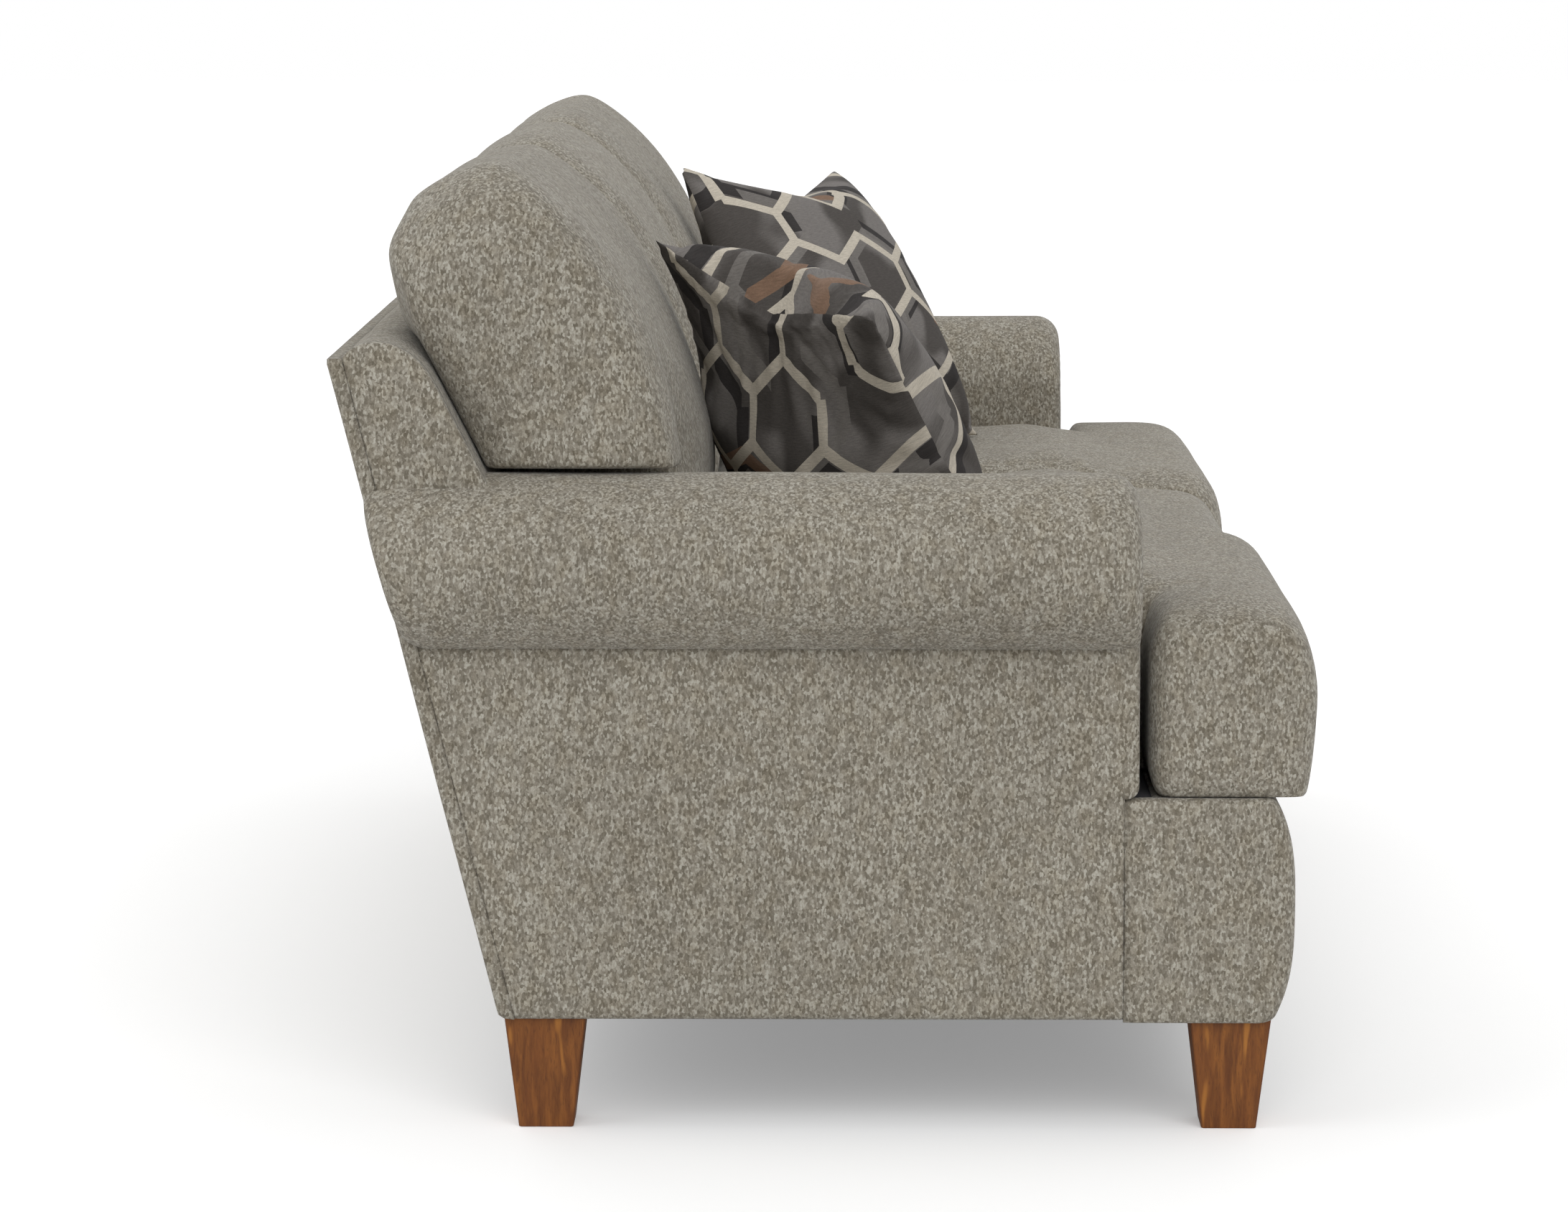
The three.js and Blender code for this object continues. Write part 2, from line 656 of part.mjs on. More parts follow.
// Seat cushions. The plan of one, drawn in by an inset from its widest line
const seatRearY = insideBackY(deckHeight) - softGap;
const seatBottom = deckHeight + softGap;
const seatSeamZ = seatBottom + seatEdgeHeight;
const earRearY = noseY + earDepth;

function seatPlan({ from, to, ear }, inset) {
  const [x0, x1] = [from + softGap + inset, to - softGap - inset];
  const [y0, y1] = [noseY + inset, seatRearY - inset];
  if (!ear) return [[x0, y0], [x1, y0], [x1, y1], [x0, y1]];
  const earX = outerX + earOverhang - inset;
  const earY = earRearY - inset;
  return [[x0, y0], [earX, y0], [earX, earY], [x1, earY], [x1, y1], [x0, y1]];
}

function seatCushion(seat) {
  const seam = seatPlan(seat, seatBulge);
  const [x0, y0] = seam[0];
  const y1 = seam.at(-1)[1];
  const x1 = seam.at(-2)[0];
  let xs = gridLines(x0, x1, seatCellsAcross);
  let ys = gridLines(y0, y1, seatCellsDeep);
  let rearCornerY = y1;
  let farX = x1;
  if (seat.ear) {
    [farX, rearCornerY] = seam[2];
    xs = [...xs, ...gridLines(x1, farX, earCells).slice(1)];
    const behindEar = gridLines(rearCornerY, y1, behindEarCells).slice(1);
    ys = [...gridLines(y0, rearCornerY, earCells), ...behindEar];
  }
  const rounded = [
    { cornerX: farX, cornerY: y0, outX: 1, outY: -1, radius: seatCornerRadius },
    { cornerX: farX, cornerY: rearCornerY, outX: 1, outY: 1, radius: seatCornerRadius },
    { cornerX: x0, cornerY: y0, outX: -1, outY: -1, radius: seatCornerRadius },
  ];
  const form = stuffedForm({
    xs,
    ys,
    rounded,
    holds: (x, y) => x < x1 || y < rearCornerY,
    under: () => seatBottom,
    upper: (x, y) => seatSeamZ + seatCrown * swell(edgeDistance(seam, x, y), seatCrownReach),
    rings: boxingRings,
    bulge: seatBulge,
    place: (x, y, z) => [x, y, z],
  });
  const [coreBottom, coreTop] = [seatBottom + coreWrap, seatSeamZ - coreWrap];
  const core = alongZ(seatPlan(seat, coreInset), coreBottom, coreTop);
  const pocket = alongZ(seatPlan(seat, coreInset - fit), coreBottom - fit, coreTop + fit);
  const around = (middle, size) => [middle - size / 2, middle + size / 2];
  const zipX = around((x0 + x1) / 2, zipSlotLength);
  const zipY = [seatRearY - coreInset - overrun / 2, seatRearY + overrun];
  const zipSlot = block(zipX, zipY, around((coreBottom + coreTop) / 2, zipSlotHeight));
  return { cover: cut(form, pocket, zipSlot), core };
}

const endSeat = seatCushion({ from: innerX - seatWidth, to: innerX, ear: true });
const middleSeat = seatCushion({ from: -seatWidth / 2, to: seatWidth / 2, ear: false });
addPair('seat_cushion_cover', endSeat.cover, chenille);
add('seat_cushion_cover_middle', middleSeat.cover, chenille);
addPair('seat_cushion_core', endSeat.core, foam);
add('seat_cushion_core_middle', middleSeat.core, foam);

// Back cushions stand on the seat cushions, lean on the inside back and have their foot cut level.
// Above the arm an end cushion has an ear that lies over the roll, with its underside level too.
const seatTopZ = seatSeamZ + seatCrown;
const backCushionFootZ = seatTopZ + softGap;
const backCushionFootY = insideBackY(backCushionFootZ) - softGap / Math.cos(insideRake);

const backEarFoot = (armHeight + backEarGap - backCushionFootZ) / Math.cos(insideRake);

function backCushion({ from, to, ear }) {
  const [x0, x1] = [from + softGap + backBulge, to - softGap - backBulge];
  const [v0, v1] = [backBulge, backCushionHeight - backBulge];
  const farX = ear ? innerX + backEarReach - backBulge : x1;
  const earV = ear ? backEarFoot + backBulge : v0;
  const besideArm = ear ? [[x1, v0], [x1, earV]] : [];
  const seam = [[x0, v0], ...besideArm, [farX, earV], [farX, v1], [x0, v1]];
  const acrossLines = gridLines(x0, x1, backCushionCells);
  const earLines = gridLines(x1, farX, backEarCells).slice(1);
  const upLines = gridLines(earV, v1, backCushionCells);
  const rounded = [
    { cornerX: x0, cornerY: v1, outX: -1, outY: 1, radius: backCornerRadius },
    { cornerX: farX, cornerY: v1, outX: 1, outY: 1, radius: backCornerRadius },
    { cornerX: x0, cornerY: v0, outX: -1, outY: -1, radius: backFootRadius },
    { cornerX: x1, cornerY: v0, outX: 1, outY: -1, radius: backFootRadius },
  ];
  if (ear) rounded.push({ cornerX: farX, cornerY: earV, outX: 1, outY: -1, radius: backEarRadius });
  return stuffedForm({
    xs: ear ? [...acrossLines, ...earLines] : acrossLines,
    ys: ear ? [...gridLines(v0, earV, backBesideArmCells).slice(0, -1), ...upLines] : upLines,
    rounded,
    holds: (x, v) => x < x1 || v > earV,
    under: (x, v) => backEdgeRear * (1 - swell(edgeDistance(seam, x, v), backRearReach)),
    upper: (x, v) => backEdgeFront
      + (backCushionDepth - backEdgeFront) * swell(edgeDistance(seam, x, v), backCrownReach)
      - backFootThinning * Math.max(1 - v / backFullHeight, 0) ** 2,
    rings: boxingRings,
    bulge: backBulge,
    place: (x, v, w) => {
      const level = Math.min((backCushionHeight - v) / (backCushionHeight - backEarFoot), 1);
      const along = v - w * Math.tan(insideRake) * level;
      const y = backCushionFootY + along * Math.sin(insideRake) - w * Math.cos(insideRake);
      const z = backCushionFootZ + along * Math.cos(insideRake) + w * Math.sin(insideRake);
      return [x, y, z];
    },
  });
}

addPair('back_cushion', backCushion({ from: innerX - seatWidth, to: innerX, ear: true }), chenille);
const middleBack = backCushion({ from: -seatWidth / 2, to: seatWidth / 2, ear: false });
add('back_cushion_middle', middleBack, chenille);

// Throw pillows lean in the corners. Their corners are shares of the pillow's size, counted from the
// top rear one: outward along X, along Y and up
const pillowCornerShares = {
  left: {
    topFront: [0.75, -0.5925, -0.1225],
    footRear: [-0.35, -0.37, -0.8075],
    footFront: [0.4125, -0.9175, -0.8075],
  },
  right: {
    topFront: [0.8, -0.475, -0.0625],
    footRear: [-0.35, -0.4, -0.86],
    footFront: [0.4, -0.94, -0.86],
  },
};

function throwPillow({ topFront, footRear, footFront }) {
  const anchorZ = seatTopZ + softGap - pillowSize * footFront[2];
  const anchorY = insideBackY(anchorZ) - backCushionDepth / Math.cos(insideRake) - pillowGap;
  const anchor = new THREE.Vector3(pillowAnchorShare * innerX, anchorY, anchorZ);
  const corner = (share) => new THREE.Vector3(...share).multiplyScalar(pillowSize).add(anchor);
  const [topB, footA, footB] = [topFront, footRear, footFront].map(corner);
  const facing = topB.clone().sub(footA).cross(footB.clone().sub(anchor)).normalize();
  const drawn = (along, across) => along * (1 - pillowDrawnInShare * (1 - across * across));
  const thick = (u, v) => pillowThickness / 2 * ((1 - u * u) * (1 - v * v)) ** pillowFullness;
  const side = gridLines(-1, 1, pillowCells, pillowCrowding);
  return stuffedForm({
    xs: side,
    ys: side,
    under: (u, v) => -thick(u, v),
    upper: thick,
    rings: 0,
    bulge: 0,
    place: (u, v, w) => {
      const [s, t] = [(drawn(u, v) + 1) / 2, (drawn(v, u) + 1) / 2];
      const foot = footA.clone().lerp(footB, s);
      const spot = foot.lerp(anchor.clone().lerp(topB, s), t);
      return spot.addScaledVector(facing, -w).toArray();
    },
  });
}

add('throw_pillow_left', mirrored(throwPillow(pillowCornerShares.left)), print);
add('throw_pillow_right', throwPillow(pillowCornerShares.right), print);

export default sofa;
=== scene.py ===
"""Roll arm sofa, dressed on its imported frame. Sizes are in millimetres until a mesh is made."""

import math

import bmesh
import bpy
import numpy as np
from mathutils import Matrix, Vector, noise


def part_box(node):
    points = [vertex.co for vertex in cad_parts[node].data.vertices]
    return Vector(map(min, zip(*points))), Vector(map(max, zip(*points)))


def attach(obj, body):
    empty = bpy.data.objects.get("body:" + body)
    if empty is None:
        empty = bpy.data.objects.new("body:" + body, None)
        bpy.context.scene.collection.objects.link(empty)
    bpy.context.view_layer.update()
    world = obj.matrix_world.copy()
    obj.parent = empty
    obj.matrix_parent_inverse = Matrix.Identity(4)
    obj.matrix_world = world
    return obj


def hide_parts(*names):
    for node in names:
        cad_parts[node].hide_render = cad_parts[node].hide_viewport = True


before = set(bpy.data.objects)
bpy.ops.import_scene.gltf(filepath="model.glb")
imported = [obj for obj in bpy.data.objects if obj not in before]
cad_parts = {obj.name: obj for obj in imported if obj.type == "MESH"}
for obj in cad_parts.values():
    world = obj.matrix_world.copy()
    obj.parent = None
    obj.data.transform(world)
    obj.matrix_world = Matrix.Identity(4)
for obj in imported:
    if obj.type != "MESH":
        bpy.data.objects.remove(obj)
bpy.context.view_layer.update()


# Camera, floor and studio light
# The photograph looks straight at the left arm from a little above it, through a long lens. The
# sofa stands on pale paper under five wide, soft lamps.
lens_dip, lens_turn = math.radians(7.44), 0.0109
camera_data = bpy.data.cameras.new("camera")
camera_data.sensor_width, camera_data.lens = 36, 124.2
camera_data.clip_end = 200
camera = bpy.data.objects.new("camera", camera_data)
camera.location = (-6.279, -0.0143, 1.205)
look = Vector((math.cos(lens_dip), lens_turn, -math.sin(lens_dip)))
camera.rotation_euler = look.to_track_quat("-Z", "Y").to_euler()
bpy.context.scene.collection.objects.link(camera)
bpy.context.scene.camera = camera
bpy.context.scene.view_settings.view_transform = "Standard"


class Tone:
    """A value or colour inside a finish. Sums on it become Math nodes, so a finish reads as a formula."""

    def __init__(self, finish, socket):
        self.finish, self.socket = finish, socket

    __add__ = lambda self, other: self.finish.sum("ADD", self, other)
    __radd__ = lambda self, other: self.finish.sum("ADD", other, self)
    __sub__ = lambda self, other: self.finish.sum("SUBTRACT", self, other)
    __rsub__ = lambda self, other: self.finish.sum("SUBTRACT", other, self)
    __mul__ = lambda self, other: self.finish.sum("MULTIPLY", self, other)
    __rmul__ = lambda self, other: self.finish.sum("MULTIPLY", other, self)
    __truediv__ = lambda self, other: self.finish.sum("DIVIDE", self, other)
    __lt__ = lambda self, other: self.finish.sum("LESS_THAN", self, other)
    __gt__ = lambda self, other: self.finish.sum("GREATER_THAN", self, other)
    __abs__ = lambda self: self.finish.sum("ABSOLUTE", self)


class Finish:
    """A material that is written with node() and Tone sums."""
    makers, usual = {}, "Shader"

    def __init__(self, name):
        self.material = bpy.data.materials.new(name)
        self.material.use_nodes = True
        self.tree = self.material.node_tree
        self.shader = self.tree.nodes["Principled BSDF"]

    def node(self, kind, settings=None, values=None, out=None):
        made = self.tree.nodes.new(self.makers.get(kind, self.usual) + "Node" + kind)
        for key, value in (settings or {}).items():
            if key == "stops":
                stops = made.color_ramp.elements
                while len(stops) < len(value):
                    stops.new(0.5)
                for stop, (position, colour) in zip(stops, value):
                    stop.position, stop.color = position, colour
            else:
                setattr(made, key, value)
        for key, value in (values or {}).items():
            self.feed(made.inputs[key] if isinstance(key, int) else self.find(made.inputs, key), value)
        shown = [s for s in made.outputs if s.enabled]
        return Tone(self, shown[0] if out is None else self.find(shown, out))

    def find(self, sockets, key):
        return next(s for s in sockets if s.enabled and key in (s.name, s.identifier))

    def feed(self, socket, value):
        if isinstance(value, Tone):
            self.tree.links.new(value.socket, socket)
        else:
            socket.default_value = value

    def sum(self, operation, *terms):
        return self.node("Math", {"operation": operation}, dict(enumerate(terms)))

    def blend(self, share, first, second, kind="MIX"):
        settings = {"data_type": "RGBA", "blend_type": kind}
        return self.node("Mix", settings, {"Factor_Float": share, "A_Color": first, "B_Color": second})

    def speckle(self, place, scale, detail=2.0, roughness=0.5, distortion=0.0):
        return self.node("TexNoise", None, {"Vector": place, "Scale": scale, "Detail": detail,
                                            "Roughness": roughness, "Distortion": distortion})

    def ease(self, value, low, high):
        return self.node("MapRange", {"interpolation_type": "SMOOTHSTEP"},
                         {"Value": value, "From Min": low, "From Max": high})

    def spot(self, stretch=(1, 1, 1), shift=(0, 0, 0)):
        place = self.node("TexCoord", None, None, "Object")
        return self.node("Mapping", None, {"Vector": place, "Scale": stretch, "Location": shift})

    def axes(self, place, names):
        return [self.node("SeparateXYZ", None, {"Vector": place}, axis) for axis in names]

    def wear(self, **values):
        """Sets the shader's own sockets, by their names with underscores for spaces."""
        for key, value in values.items():
            self.feed(self.find(self.shader.inputs, key.replace("_", " ")), value)
        return self.material

    def surface(self, colour, strength, depth, height, roughness, **more):
        """Colour, relief and roughness together, then any other of the shader's sockets."""
        relief = self.node("Bump", None, {"Strength": strength, "Distance": depth, "Height": height})
        return self.wear(Base_Color=colour, Normal=relief, Roughness=roughness, **more)


def paper_floor():
    paper = Finish("studio_paper")
    paper.wear(Base_Color=(0.86, 0.86, 0.86, 1), Roughness=0.9)
    seen = paper.node("LightPath", None, None, "Is Camera Ray")
    paper.wear(Emission_Color=paper.blend(seen, (0, 0, 0, 1), (1, 1, 1, 1)), Emission_Strength=0.26)
    bpy.ops.mesh.primitive_plane_add(size=60)
    floor = bpy.context.object
    floor.name = "studio_floor"
    floor.data.materials.append(paper.material)


paper_floor()


class Sky(Finish):
    """The world, written as a finish is."""

    def __init__(self, name):
        world = bpy.context.scene.world = bpy.data.worlds.new(name)
        world.use_nodes = True
        self.material, self.tree = world, world.node_tree
        self.shader = self.tree.nodes["Background"]


sky = Sky("studio")
seen = [sky.node("LightPath", None, None, f"Is {ray} Ray") for ray in ("Camera", "Transmission")]
sky.wear(Color=(1, 1, 1, 1), Strength=0.42 + 0.58 * sky.sum("MAXIMUM", *seen))

for name, towards, spread, power in (
    ("light_top", (0.1, -0.1, 1), 80, 0.45),
    ("light_side", (-1, -0.2, 0.7), 50, 1.3),
    ("light_front", (0.3, -1, 0.7), 60, 0.12),
    ("light_back", (-0.2, 1, 0.7), 60, 0.6),
    ("light_far", (1, 0.1, 0.6), 60, 0.55),
):
    lamp = bpy.data.objects.new(name, bpy.data.lights.new(name, "SUN"))
    lamp.data.angle, lamp.data.energy = math.radians(spread), power
    lamp.rotation_euler = Vector(towards).to_track_quat("Z", "Y").to_euler()
    bpy.context.scene.collection.objects.link(lamp)


# Cover cloth
# Heavy grey-taupe chenille. Its pile yarn is spun from several tones, so up close it is a crowd of
# light and dark flecks two to four millimetres long that lie along the warp.
def tint(red, green, blue):
    """A colour as it reads on screen, 0 to 255, as the shader's linear one."""
    def linear(c):
        c /= 255
        return c / 12.92 if c < 0.04045 else ((c + 0.055) / 1.055) ** 2.4
    return (linear(red), linear(green), linear(blue), 1)


def chenille():
    cloth = Finish("chenille_cover")
    place = cloth.spot((1, 1, 0.8))
    drift = cloth.speckle(place, 6, 2)
    warmth = cloth.speckle(cloth.spot((1, 1, 0.8), (9, 4, 2)), 60, 2)
    upright = cloth.spot((1, 1, 0.62))
    bent = cloth.node("TexNoise", None, {"Vector": place, "Scale": 500, "Detail": 1}, "Color")
    bent = cloth.node("VectorMath", {"operation": "MULTIPLY_ADD"},
                      {0: bent, 1: (0.002, 0.002, 0.002), 2: upright})
    tuft = cloth.node("TexVoronoi", {"feature": "SMOOTH_F1"},
                      {"Vector": bent, "Scale": 470, "Smoothness": 0.35}, "Color")
    tuft = cloth.node("SeparateColor", None, {"Color": tuft}, "Red")
    pile = cloth.speckle(place, 620, 1.5, 0.5, 0.2)
    warp = cloth.speckle(cloth.spot((1, 1, 0.25), (3.1, 7.7, 1.3)), 330, 1.5)
    fuzz = cloth.speckle(cloth.spot(shift=(5, 2, 9)), 900, 2, 0.7)
    tone = tuft * 0.36 + pile * 0.26 + warp * 0.22 + fuzz * 0.16
    stops = [(0.30, tint(103, 97, 85)), (0.41, tint(121, 115, 103)), (0.5, tint(138, 132, 120)),
             (0.58, tint(152, 147, 135)), (0.68, tint(173, 169, 158))]
    colour = cloth.node("ValToRGB", {"stops": stops}, {"Fac": tone}, "Color")
    colour = cloth.blend(cloth.ease(warmth, 0.4, 0.7) * 0.3, colour, tint(226, 216, 196), "MULTIPLY")
    shade = cloth.blend(cloth.ease(drift, 0.3, 0.7), (0.97, 0.97, 0.97, 1), (1.05, 1.05, 1.05, 1))
    colour = cloth.blend(1.0, colour, shade, "MULTIPLY")
    return cloth.surface(colour, 0.45, 0.0014, tone * 2, 0.95 - fuzz * 0.1,
                         Specular_IOR_Level=0.2, Sheen_Weight=0.15, Sheen_Roughness=0.5)


cover_cloth = chenille()


# Frame
# Kiln dried hardwood rails, posts and boards, sawn and left bare, glued and screwed at corner
# blocks. Their CAD forms are right, so they only get their wood. Zinc plated bolts carry the legs.
def bare_wood(along):
    """Pale sawn hardwood whose grain runs along one axis of the sofa."""
    wood = Finish("bare_hardwood_" + "xyz"[along])
    run = tuple(0.06 if k == along else 1 for k in range(3))
    grain = wood.speckle(wood.spot(run, (0.3, 0.7, 0.2)), 110, 3, 0.6, 0.3)
    figure = wood.speckle(wood.spot(run, (2.3, 1.7, 4.2)), 22, 2, 0.5, 1.5)
    sawn = wood.speckle(wood.spot(tuple(1 if k == along else 0.2 for k in range(3))), 240, 1)
    colour = wood.blend(wood.ease(grain, 0.3, 0.7), tint(196, 164, 118), tint(222, 196, 152))
    colour = wood.blend(wood.ease(figure, 0.4, 0.62) * 0.5, colour, tint(178, 140, 92))
    return wood.surface(colour, 0.4, 0.0006, grain * 0.6 + sawn * 0.5, 0.72 + grain * 0.16,
                        Specular_IOR_Level=0.3)


def dress(finish, *nodes):
    """A frame part keeps its CAD form and gets its finish."""
    for node in nodes:
        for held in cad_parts[node].material_slots:
            held.material = finish


def both(*names):
    return [f"{name}_{side}" for name in names for side in ("left", "right")]


corners = both("front", "rear")
dress(bare_wood(0), "front_rail", "rear_rail", "back_top_rail", "back_lower_rail",
      *[f"corner_block_{c}" for c in corners])
dress(bare_wood(1), *both("side_rail", "seat_stretcher", "arm_top_board"))
dress(bare_wood(2), *both("arm_front_post", "back_post"))


def plated(name, dark, pale, rough):
    """Plated or tempered steel: fine drawing lines, small dull spots and a slight orange peel."""
    steel = Finish(name)
    drawn = steel.speckle(steel.spot((1, 1, 0.08)), 900, 2)
    dull = steel.speckle(steel.spot(), 120, 3, 0.7)
    colour = steel.blend(steel.ease(dull, 0.35, 0.7), dark, pale)
    return steel.surface(colour, 0.2, 0.0002, drawn + dull, rough + dull * 0.2, Metallic=1.0)


dress(plated("zinc_plate", tint(166, 170, 176), tint(206, 208, 212), 0.28),
      *[f"hanger_bolt_{c}" for c in corners])


# Seat springs
# Nine rows of oil tempered wire, bent from side to side and arched from the front rail to the rear
# one. Each end lies in a steel clip that is nailed to the rail.
class Growth(Finish):
    """A Geometry Nodes tree, written as a finish is. It grows on a path, and takes millimetres."""
    makers = {"Math": "Shader", "VectorMath": "Shader", "CombineXYZ": "Shader", "RandomValue": "Function",
              "AlignRotationToVector": "Function", "RotateRotation": "Function"}
    usual = "Geometry"

    def __init__(self, name, **sizes):
        self.tree = bpy.data.node_groups.new(name, "GeometryNodeTree")
        for flow in ("INPUT", "OUTPUT"):
            self.tree.interface.new_socket("Geometry", in_out=flow, socket_type="NodeSocketGeometry")
        self.sizes = {}
        for size, kind in sizes.items():
            socket = self.tree.interface.new_socket(size, in_out="INPUT", socket_type="NodeSocket" + kind)
            self.sizes[size] = (socket.identifier, kind)
        self.start = self.tree.nodes.new("NodeGroupInput")

    def given(self, name):
        return Tone(self, self.find(self.start.outputs, name))

    def done(self, geometry, finish):
        geometry = self.node("RealizeInstances", None, {"Geometry": geometry})
        geometry = self.node("SetMaterial", None, {"Geometry": geometry, "Material": finish})
        self.feed(self.tree.nodes.new("NodeGroupOutput").inputs[0], geometry)

    def sweep(self, path, section, finish):
        values = {"Curve": path, "Profile Curve": section, "Fill Caps": True}
        self.done(self.node("CurveToMesh", None, values), finish)

    def grow(self, paths, marks=None, **sizes):
        """Runs the tree on paths, each a list of points, and gives a plain mesh."""
        points = [p for path in paths for p in path]
        starts = np.cumsum([0] + [len(path) for path in paths])
        edges = [(k, k + 1) for a, b in zip(starts, starts[1:]) for k in range(a, b - 1)]
        carrier = bpy.data.objects.new("carrier", bpy.data.meshes.new("carrier"))
        carrier.data.from_pydata((np.array(points, float) * 0.001).tolist(), edges, [])
        for name, values in (marks or {}).items():
            mark = carrier.data.attributes.new(name, "FLOAT", "POINT")
            mark.data.foreach_set("value", [v for path, v in zip(paths, values) for _ in path])
        bpy.context.scene.collection.objects.link(carrier)
        grown = carrier.modifiers.new("grown", "NODES")
        grown.node_group = self.tree
        for size, value in sizes.items():
            identifier, kind = self.sizes[size]
            grown[identifier] = value * 0.001 if kind == "Float" else value
        ready = carrier.evaluated_get(bpy.context.evaluated_depsgraph_get())
        mesh = bpy.data.meshes.new_from_object(ready)
        bpy.data.objects.remove(carrier)
        return mesh


def set_in(name, mesh, body, slot, *nodes, smooth=True):
    """A finished mesh as a piece of the sofa, in place of its CAD nodes."""
    mesh.polygons.foreach_set("use_smooth", [smooth] * len(mesh.polygons))
    made = bpy.data.objects.new(name, mesh)
    bpy.context.scene.collection.objects.link(made)
    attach(made, body)
    if nodes:
        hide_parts(*nodes)
    return made


def sinuous_wire(finish):
    """A wire that swings from side to side along its path, its bars nearly square to it, and arches."""
    wire = Growth("sinuous_wire", Steps="Int", Bends="Int", Swing="Float", Lean="Float", Arch="Float",
                  Wire="Float")
    path = wire.node("MeshToCurve", None, {"Mesh": wire.given("Geometry")})
    path = wire.node("ResampleCurve", None, {"Curve": path, "Count": wire.given("Steps")})
    share = wire.node("SplineParameter", None, None, "Factor")
    turn = share * wire.given("Bends") * math.pi
    shift = wire.node("CombineXYZ", None, {
        "X": wire.sum("SINE", turn) * wire.given("Swing"),
        "Y": wire.sum("SINE", turn * -2) * wire.given("Lean"),
        "Z": wire.sum("SINE", share * math.pi) * wire.given("Arch")})
    path = wire.node("SetPosition", None, {"Geometry": path, "Offset": shift})
    section = {"Resolution": 10, "Radius": wire.given("Wire") * 0.5}
    wire.sweep(path, wire.node("CurvePrimitiveCircle", None, section), finish)
    return wire


spring_steel = plated("tempered_steel", tint(70, 72, 78), tint(116, 118, 124), 0.34)
spring_z, spring_front, spring_rear, spring_wire = 310.7, -415.4, 301, 4.0
spring_pitch = 200.0
spring_xs = [spring_pitch * k for k in range(-4, 5)]
spring_paths = [[(x, spring_front, spring_z), (x, spring_rear, spring_z)] for x in spring_xs]
mesh = sinuous_wire(spring_steel).grow(spring_paths, Steps=301, Bends=25, Swing=19.6, Lean=4.0, Arch=9.8,
                                       Wire=spring_wire)
set_in("seat_springs", mesh, "sofa_frame", "spring_steel", *[f"seat_spring_{k}" for k in range(1, 10)])


def square_to(step):
    """Directions a quarter turn from some steps in a plane, one long."""
    return np.stack([-step[:, 1], step[:, 0]], 1) / np.linalg.norm(step, axis=1)[:, None]


def bent_strip(path, thick, wide, across=False):
    """A strip of metal bent along a path, lengthwise or across its row, as a closed mesh."""
    path = np.array(path, float)
    step = np.gradient(path, axis=0)
    out = square_to(step) * thick / 2
    ring = np.concatenate([path + out, (path - out)[::-1]])
    count = len(ring)
    points = [(s * wide / 2, u, w) if across else (u, s * wide / 2, w) for s in (-1, 1) for u, w in ring]
    faces = [(k, (k + 1) % count, (k + 1) % count + count, k + count) for k in range(count)]
    for base in (0, count):
        faces += [[base + j, base + count - 1 - j, base + count - 2 - j, base + j + 1]
                  for j in range(len(path) - 1)]
    return points, faces


def closed_mesh(name, points, faces):
    """A mesh from millimetre points, with its faces turned outwards."""
    mesh = bpy.data.meshes.new(name)
    mesh.from_pydata((np.asarray(points, float) * 0.001).tolist(), [], [list(map(int, f)) for f in faces])
    edit = bmesh.new()
    edit.from_mesh(mesh)
    bmesh.ops.recalc_face_normals(edit, faces=edit.faces)
    edit.to_mesh(mesh)
    edit.free()
    return mesh


def small_part(name, points, faces):
    """A part that a row repeats. The row uses it up."""
    return bpy.data.objects.new(name, closed_mesh(name, points, faces))


def set_row(name, finish):
    """Small parts set along a path at even steps, by turns to its two sides, each a little askew."""
    row = Growth(name, Part="Object", Step="Float", Stagger="Float", Up="Vector", Seed="Int")
    path = row.node("MeshToCurve", None, {"Mesh": row.given("Geometry")})
    path = row.node("ResampleCurve", {"mode": "LENGTH"}, {"Curve": path, "Length": row.given("Step")})
    along = row.node("InputTangent")
    across = row.node("VectorMath", {"operation": "CROSS_PRODUCT"}, {0: along, 1: row.given("Up")})
    side = row.sum("MODULO", row.node("InputIndex"), 2.0) * 2 - 1
    shift = row.node("VectorMath", {"operation": "SCALE"},
                     {0: across, "Scale": side * row.given("Stagger")})
    path = row.node("SetPosition", None, {"Geometry": path, "Offset": shift})
    turn = row.node("AlignRotationToVector", {"axis": "X"}, {"Vector": along})
    turn = row.node("AlignRotationToVector", {"axis": "Z", "pivot_axis": "X"},
                    {"Rotation": turn, "Vector": row.given("Up")})
    askew = row.node("RandomValue", {"data_type": "FLOAT_VECTOR"},
                     {"Min": (-0.02, -0.02, -0.05), "Max": (0.02, 0.02, 0.05), "Seed": row.given("Seed")})
    turn = row.node("RotateRotation", None, {"Rotation": turn, "Rotate By": askew})
    part = row.node("ObjectInfo", None, {"Object": row.given("Part")}, "Geometry")
    parts = row.node("InstanceOnPoints", None, {"Points": path, "Instance": part, "Rotation": turn})
    row.done(parts, finish)
    return row


def set_along(name, row, part, paths, body, slot, step, stagger=0.0, up=(0, 0, 1), seed=1):
    """Grows a row of one small part along some paths and sets it in."""
    mesh = row.grow(paths, Part=part, Step=step, Stagger=stagger, Up=up, Seed=seed)
    bpy.data.objects.remove(part)
    return set_in(name, mesh, body, slot, smooth=False)


